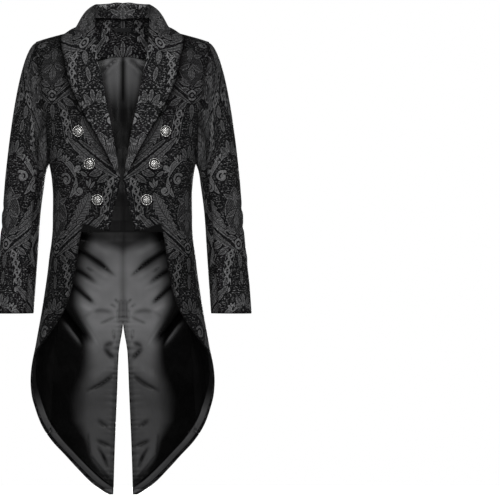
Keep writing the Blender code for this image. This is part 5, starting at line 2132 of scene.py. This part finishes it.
@dataclass
class Buttons:
    """Cast metal shank buttons with a raised rosette and a beaded rim."""

    finishes: Wardrobe
    # outer radius, height
    front_size: Pair = (0.0130, 0.0062)
    belt_size: Pair = (0.0110, 0.0056)
    cuff_size: Pair = (0.0070, 0.0040)
    # distance from the middle, fall
    front_places: tuple[Pair, ...] = ((0.1020, 0.2351), (0.0755, 0.3115), (0.0573, 0.3958))
    belt_place: Pair = (0.0947, 0.4122)
    cuff_falls: tuple[float, ...] = (0.5785, 0.6040, 0.6300)
    cuff_angle: float = math.radians(305)
    lift: float = 0.0004
    belt_lift: float = 0.0032
    # number, share of the radius, share of the height, from the top's middle round to the shank
    profile: Table = (
        (0, 0.0, 1.0), (1, 0.3, 0.97), (2, 0.55, 0.86), (3, 0.72, 0.66), (4, 0.79, 0.54),
        (5, 0.86, 0.64), (6, 0.93, 0.72), (7, 1.0, 0.56), (8, 0.93, 0.36), (9, 0.36, 0.22),
        (10, 0.3, 0.0), (11, 0.0, 0.0),
    )
    top_ends: float = 7.2
    dome_ends: float = 0.78

    def cast(self, name: str, size: Pair, place: Array, normal: Array, fine: int = 72) -> None:
        """Casts one button.

        Its surface is the profile turned about its axis. On the dome the height gains eight
        petals, as the cosine of four times the angle, a ring of leaves between them and a raised
        heart; on the rim it gains beads.

        Args:
            name: node of the frame that it stands for, and the piece's name.
            size: outer radius and height.
            place: foot of its shank.
            normal: direction of its axis.
            fine: number of steps round it.
        """
        radius, tall = size
        at, angle = np.meshgrid(
            even(0.0, 11.0, fine // 2)[1:-1], even(0.0, 2 * math.pi, fine)[:-1], indexing="ij"
        )
        across, height = smooth(at, self.profile, 1), smooth(at, self.profile, 2)
        petals = np.cos(4 * angle) ** 2 * bell(across, 0.50, 0.16)
        heart = np.exp(-((across / 0.15) ** 4)) + 0.8 * bell(across, 0.27, 0.035)
        leaves = np.sin(4 * angle) ** 6 * bell(across, 0.64, 0.07)
        beads = np.cos(fine / 6 * angle) * bell(across, 0.92, 0.05)
        raised = (petals + heart + 0.8 * leaves) * (across < self.dome_ends) + 0.5 * beads
        top = at < self.top_ends
        height = (height + 0.16 * raised * top)[..., None] * tall
        right = unit(np.cross(np.array([0.0, 0.0, 1.0]), normal))
        ahead = np.cross(normal, right)
        round_it = np.cos(angle)[..., None] * right + np.sin(angle)[..., None] * ahead
        body = (across * radius)[..., None] * round_it + height * normal + place
        ends = np.stack([place + normal * tall * 1.16, place])
        index = np.arange(at.size).reshape(at.shape)
        after = np.roll(index, -1, axis=1)
        top_cap = np.column_stack([np.full(fine, at.size), index[0], after[0]])
        low_cap = np.column_stack([np.full(fine, at.size + 1), after[-1], index[-1]])
        groups = [tube_faces(index), np.concatenate([top_cap, low_cap])]
        mesh = build_mesh(f"{name}_cast", np.concatenate([body.reshape(-1, 3), ends]), groups)
        shown = np.clip((0.12 + 0.75 * raised + 0.85 * bell(across, 0.94, 0.055)) * top, 0.0, 1.0)
        store(mesh, "raised", np.concatenate([shown.ravel(), [1.0, 0.0]]))
        dress(f"{name}_cast", mesh, [self.finishes.silver], Slot.METAL, name)

    def on_torso(self, x: float, fall: float, front: bool, lift: float) -> tuple[Array, Array]:
        """A place on the torso form, outside it.

        Args:
            x: distance across.
            fall: distance down.
            front: whether it is in front.
            lift: distance outside the form.

        Returns:
            Point and normal.
        """
        row = FORM.row_of(np.array([fall]))
        points, normals = FORM.face(FORM.turn_at(np.array([x]), row, front), row)
        return points[0] + normals[0] * lift, normals[0]

    def on_cuff(self, sleeves: Sleeves, side: int, fall: float) -> tuple[Array, Array]:
        """A place on the back of the upper sleeve.

        Args:
            sleeves: the sleeves.
            side: 1 on the wearer's left, -1 on the right.
            fall: distance down.

        Returns:
            Point and normal.
        """
        across, fore, wide, deep = (float(smooth(fall, sleeves.sections, k)) for k in (1, 2, 3, 4))
        arm = np.array([wide * math.cos(self.cuff_angle), -deep * math.sin(self.cuff_angle), 0.0])
        normal, mirror = unit(arm), np.array([side, 1.0, 1.0])
        point = np.array([across, fore, -fall]) + arm + normal * self.lift
        return point * mirror, normal * mirror

    def build(self, sleeves: Sleeves) -> None:
        """Casts every button.

        Args:
            sleeves: the sleeves that carry the cuff buttons.
        """
        for side, word in SIDES:
            for number, (x, fall) in enumerate(self.front_places, 1):
                spot = self.on_torso(side * x, fall, True, self.lift)
                self.cast(f"front_button_{word}_{number}", self.front_size, *spot)
            for number, fall in enumerate(self.cuff_falls, 1):
                spot = self.on_cuff(sleeves, side, fall)
                self.cast(f"cuff_button_{word}_{number}", self.cuff_size, *spot, 48)
            x, fall = self.belt_place
            spot = self.on_torso(side * x, fall, False, self.belt_lift)
            self.cast(f"belt_button_{word}", self.belt_size, *spot)


# ---------------------------------------------------------------- studio


@dataclass
class Studio:
    """Pale floor, soft lights and the camera straight in front."""

    across: float = 1.18
    middle: Pair = (0.301, -0.5145)
    distance: float = 26.0
    sensor: float = 36.0
    floor_level: float = -1.104
    floor_reach: float = 1.4
    aim: Triple = (0.0, 0.0, -0.45)
    glow: float = 0.08
    # name, place, side, watts
    lamps: tuple[tuple[str, Triple, float, float], ...] = (
        ("key", (0.0, -3.2, 1.5), 1.1, 150.0),
        ("fill", (0.5, -3.4, -0.2), 1.4, 60.0),
        ("left_edge", (-2.6, -0.8, 0.3), 1.2, 18.0),
        ("right_edge", (2.6, -0.8, 0.3), 1.2, 18.0),
        ("rear", (0.3, 3.4, -0.5), 1.4, 170.0),
    )

    def floor(self) -> None:
        """Lays the floor under the hem."""
        turns = ((-1, -1), (1, -1), (1, 1), (-1, 1))
        reach, level = self.floor_reach, self.floor_level
        corners = [(x * reach, y * reach, level) for x, y in turns]
        mesh = build_mesh("floor", np.array(corners), [np.array([[0, 1, 2, 3]])])
        mesh.materials.append(Floor().material())
        add_object("floor", mesh)

    def light(self, name: str, where: Triple, size: float, power: float) -> None:
        """Hangs one square light that faces the coat's middle.

        Args:
            name: name of the light.
            where: where it hangs.
            size: length of its side.
            power: its power in watts.
        """
        lamp = bpy.data.lights.new(name, "AREA")
        lamp.size, lamp.energy = size, power
        hung = add_object(name, lamp)
        hung.location = where
        x, y, z = unit(np.array(self.aim) - np.array(where))
        hung.rotation_euler = (math.asin(z) + math.pi / 2, 0.0, math.atan2(y, x) - math.pi / 2)
        hung.visible_camera = False

    def world(self) -> None:
        """White surroundings for the camera, dimmer for the light that they give."""
        world = bpy.data.worlds.new("studio")
        world.use_nodes = True
        bpy.context.scene.world = world
        tree = world.node_tree
        paper = tree.nodes["Background"]
        paper.inputs["Color"].default_value = (1.0, 1.0, 1.0, 1.0)
        seen = tree.nodes.new("ShaderNodeLightPath").outputs["Is Camera Ray"]
        power = tree.nodes.new("ShaderNodeMix")
        power.data_type = "FLOAT"
        power.inputs[2].default_value, power.inputs[3].default_value = self.glow, 1.0
        tree.links.new(seen, power.inputs[0])
        tree.links.new(power.outputs[0], paper.inputs["Strength"])

    def camera(self) -> None:
        """Puts a long-lens camera straight in front, framed as the photograph is."""
        lens = bpy.data.cameras.new("camera")
        lens.sensor_width = self.sensor
        lens.lens = self.sensor * self.distance / self.across
        lens.clip_end = 200.0
        eye = add_object("camera", lens)
        eye.location = (self.middle[0], -self.distance, self.middle[1])
        eye.rotation_euler = (math.pi / 2, 0.0, 0.0)
        bpy.context.scene.camera = eye
        bpy.context.scene.view_settings.view_transform = "Standard"

    def build(self) -> None:
        """Sets the studio up."""
        self.camera()
        self.world()
        self.floor()
        for lamp in self.lamps:
            self.light(*lamp)


def main() -> None:
    """Builds the coat and its studio."""
    logging.basicConfig(level=logging.INFO, format="%(name)s: %(message)s")
    Studio().build()
    finishes = Wardrobe()
    body, sleeves = BodyPanels(finishes), Sleeves(finishes)
    body.build()
    Linings(finishes, body).build()
    sleeves.build()
    Collar(finishes).build()
    HalfBelt(finishes).build()
    Buttons(finishes).build(sleeves)


if __name__ == "__main__":
    main()
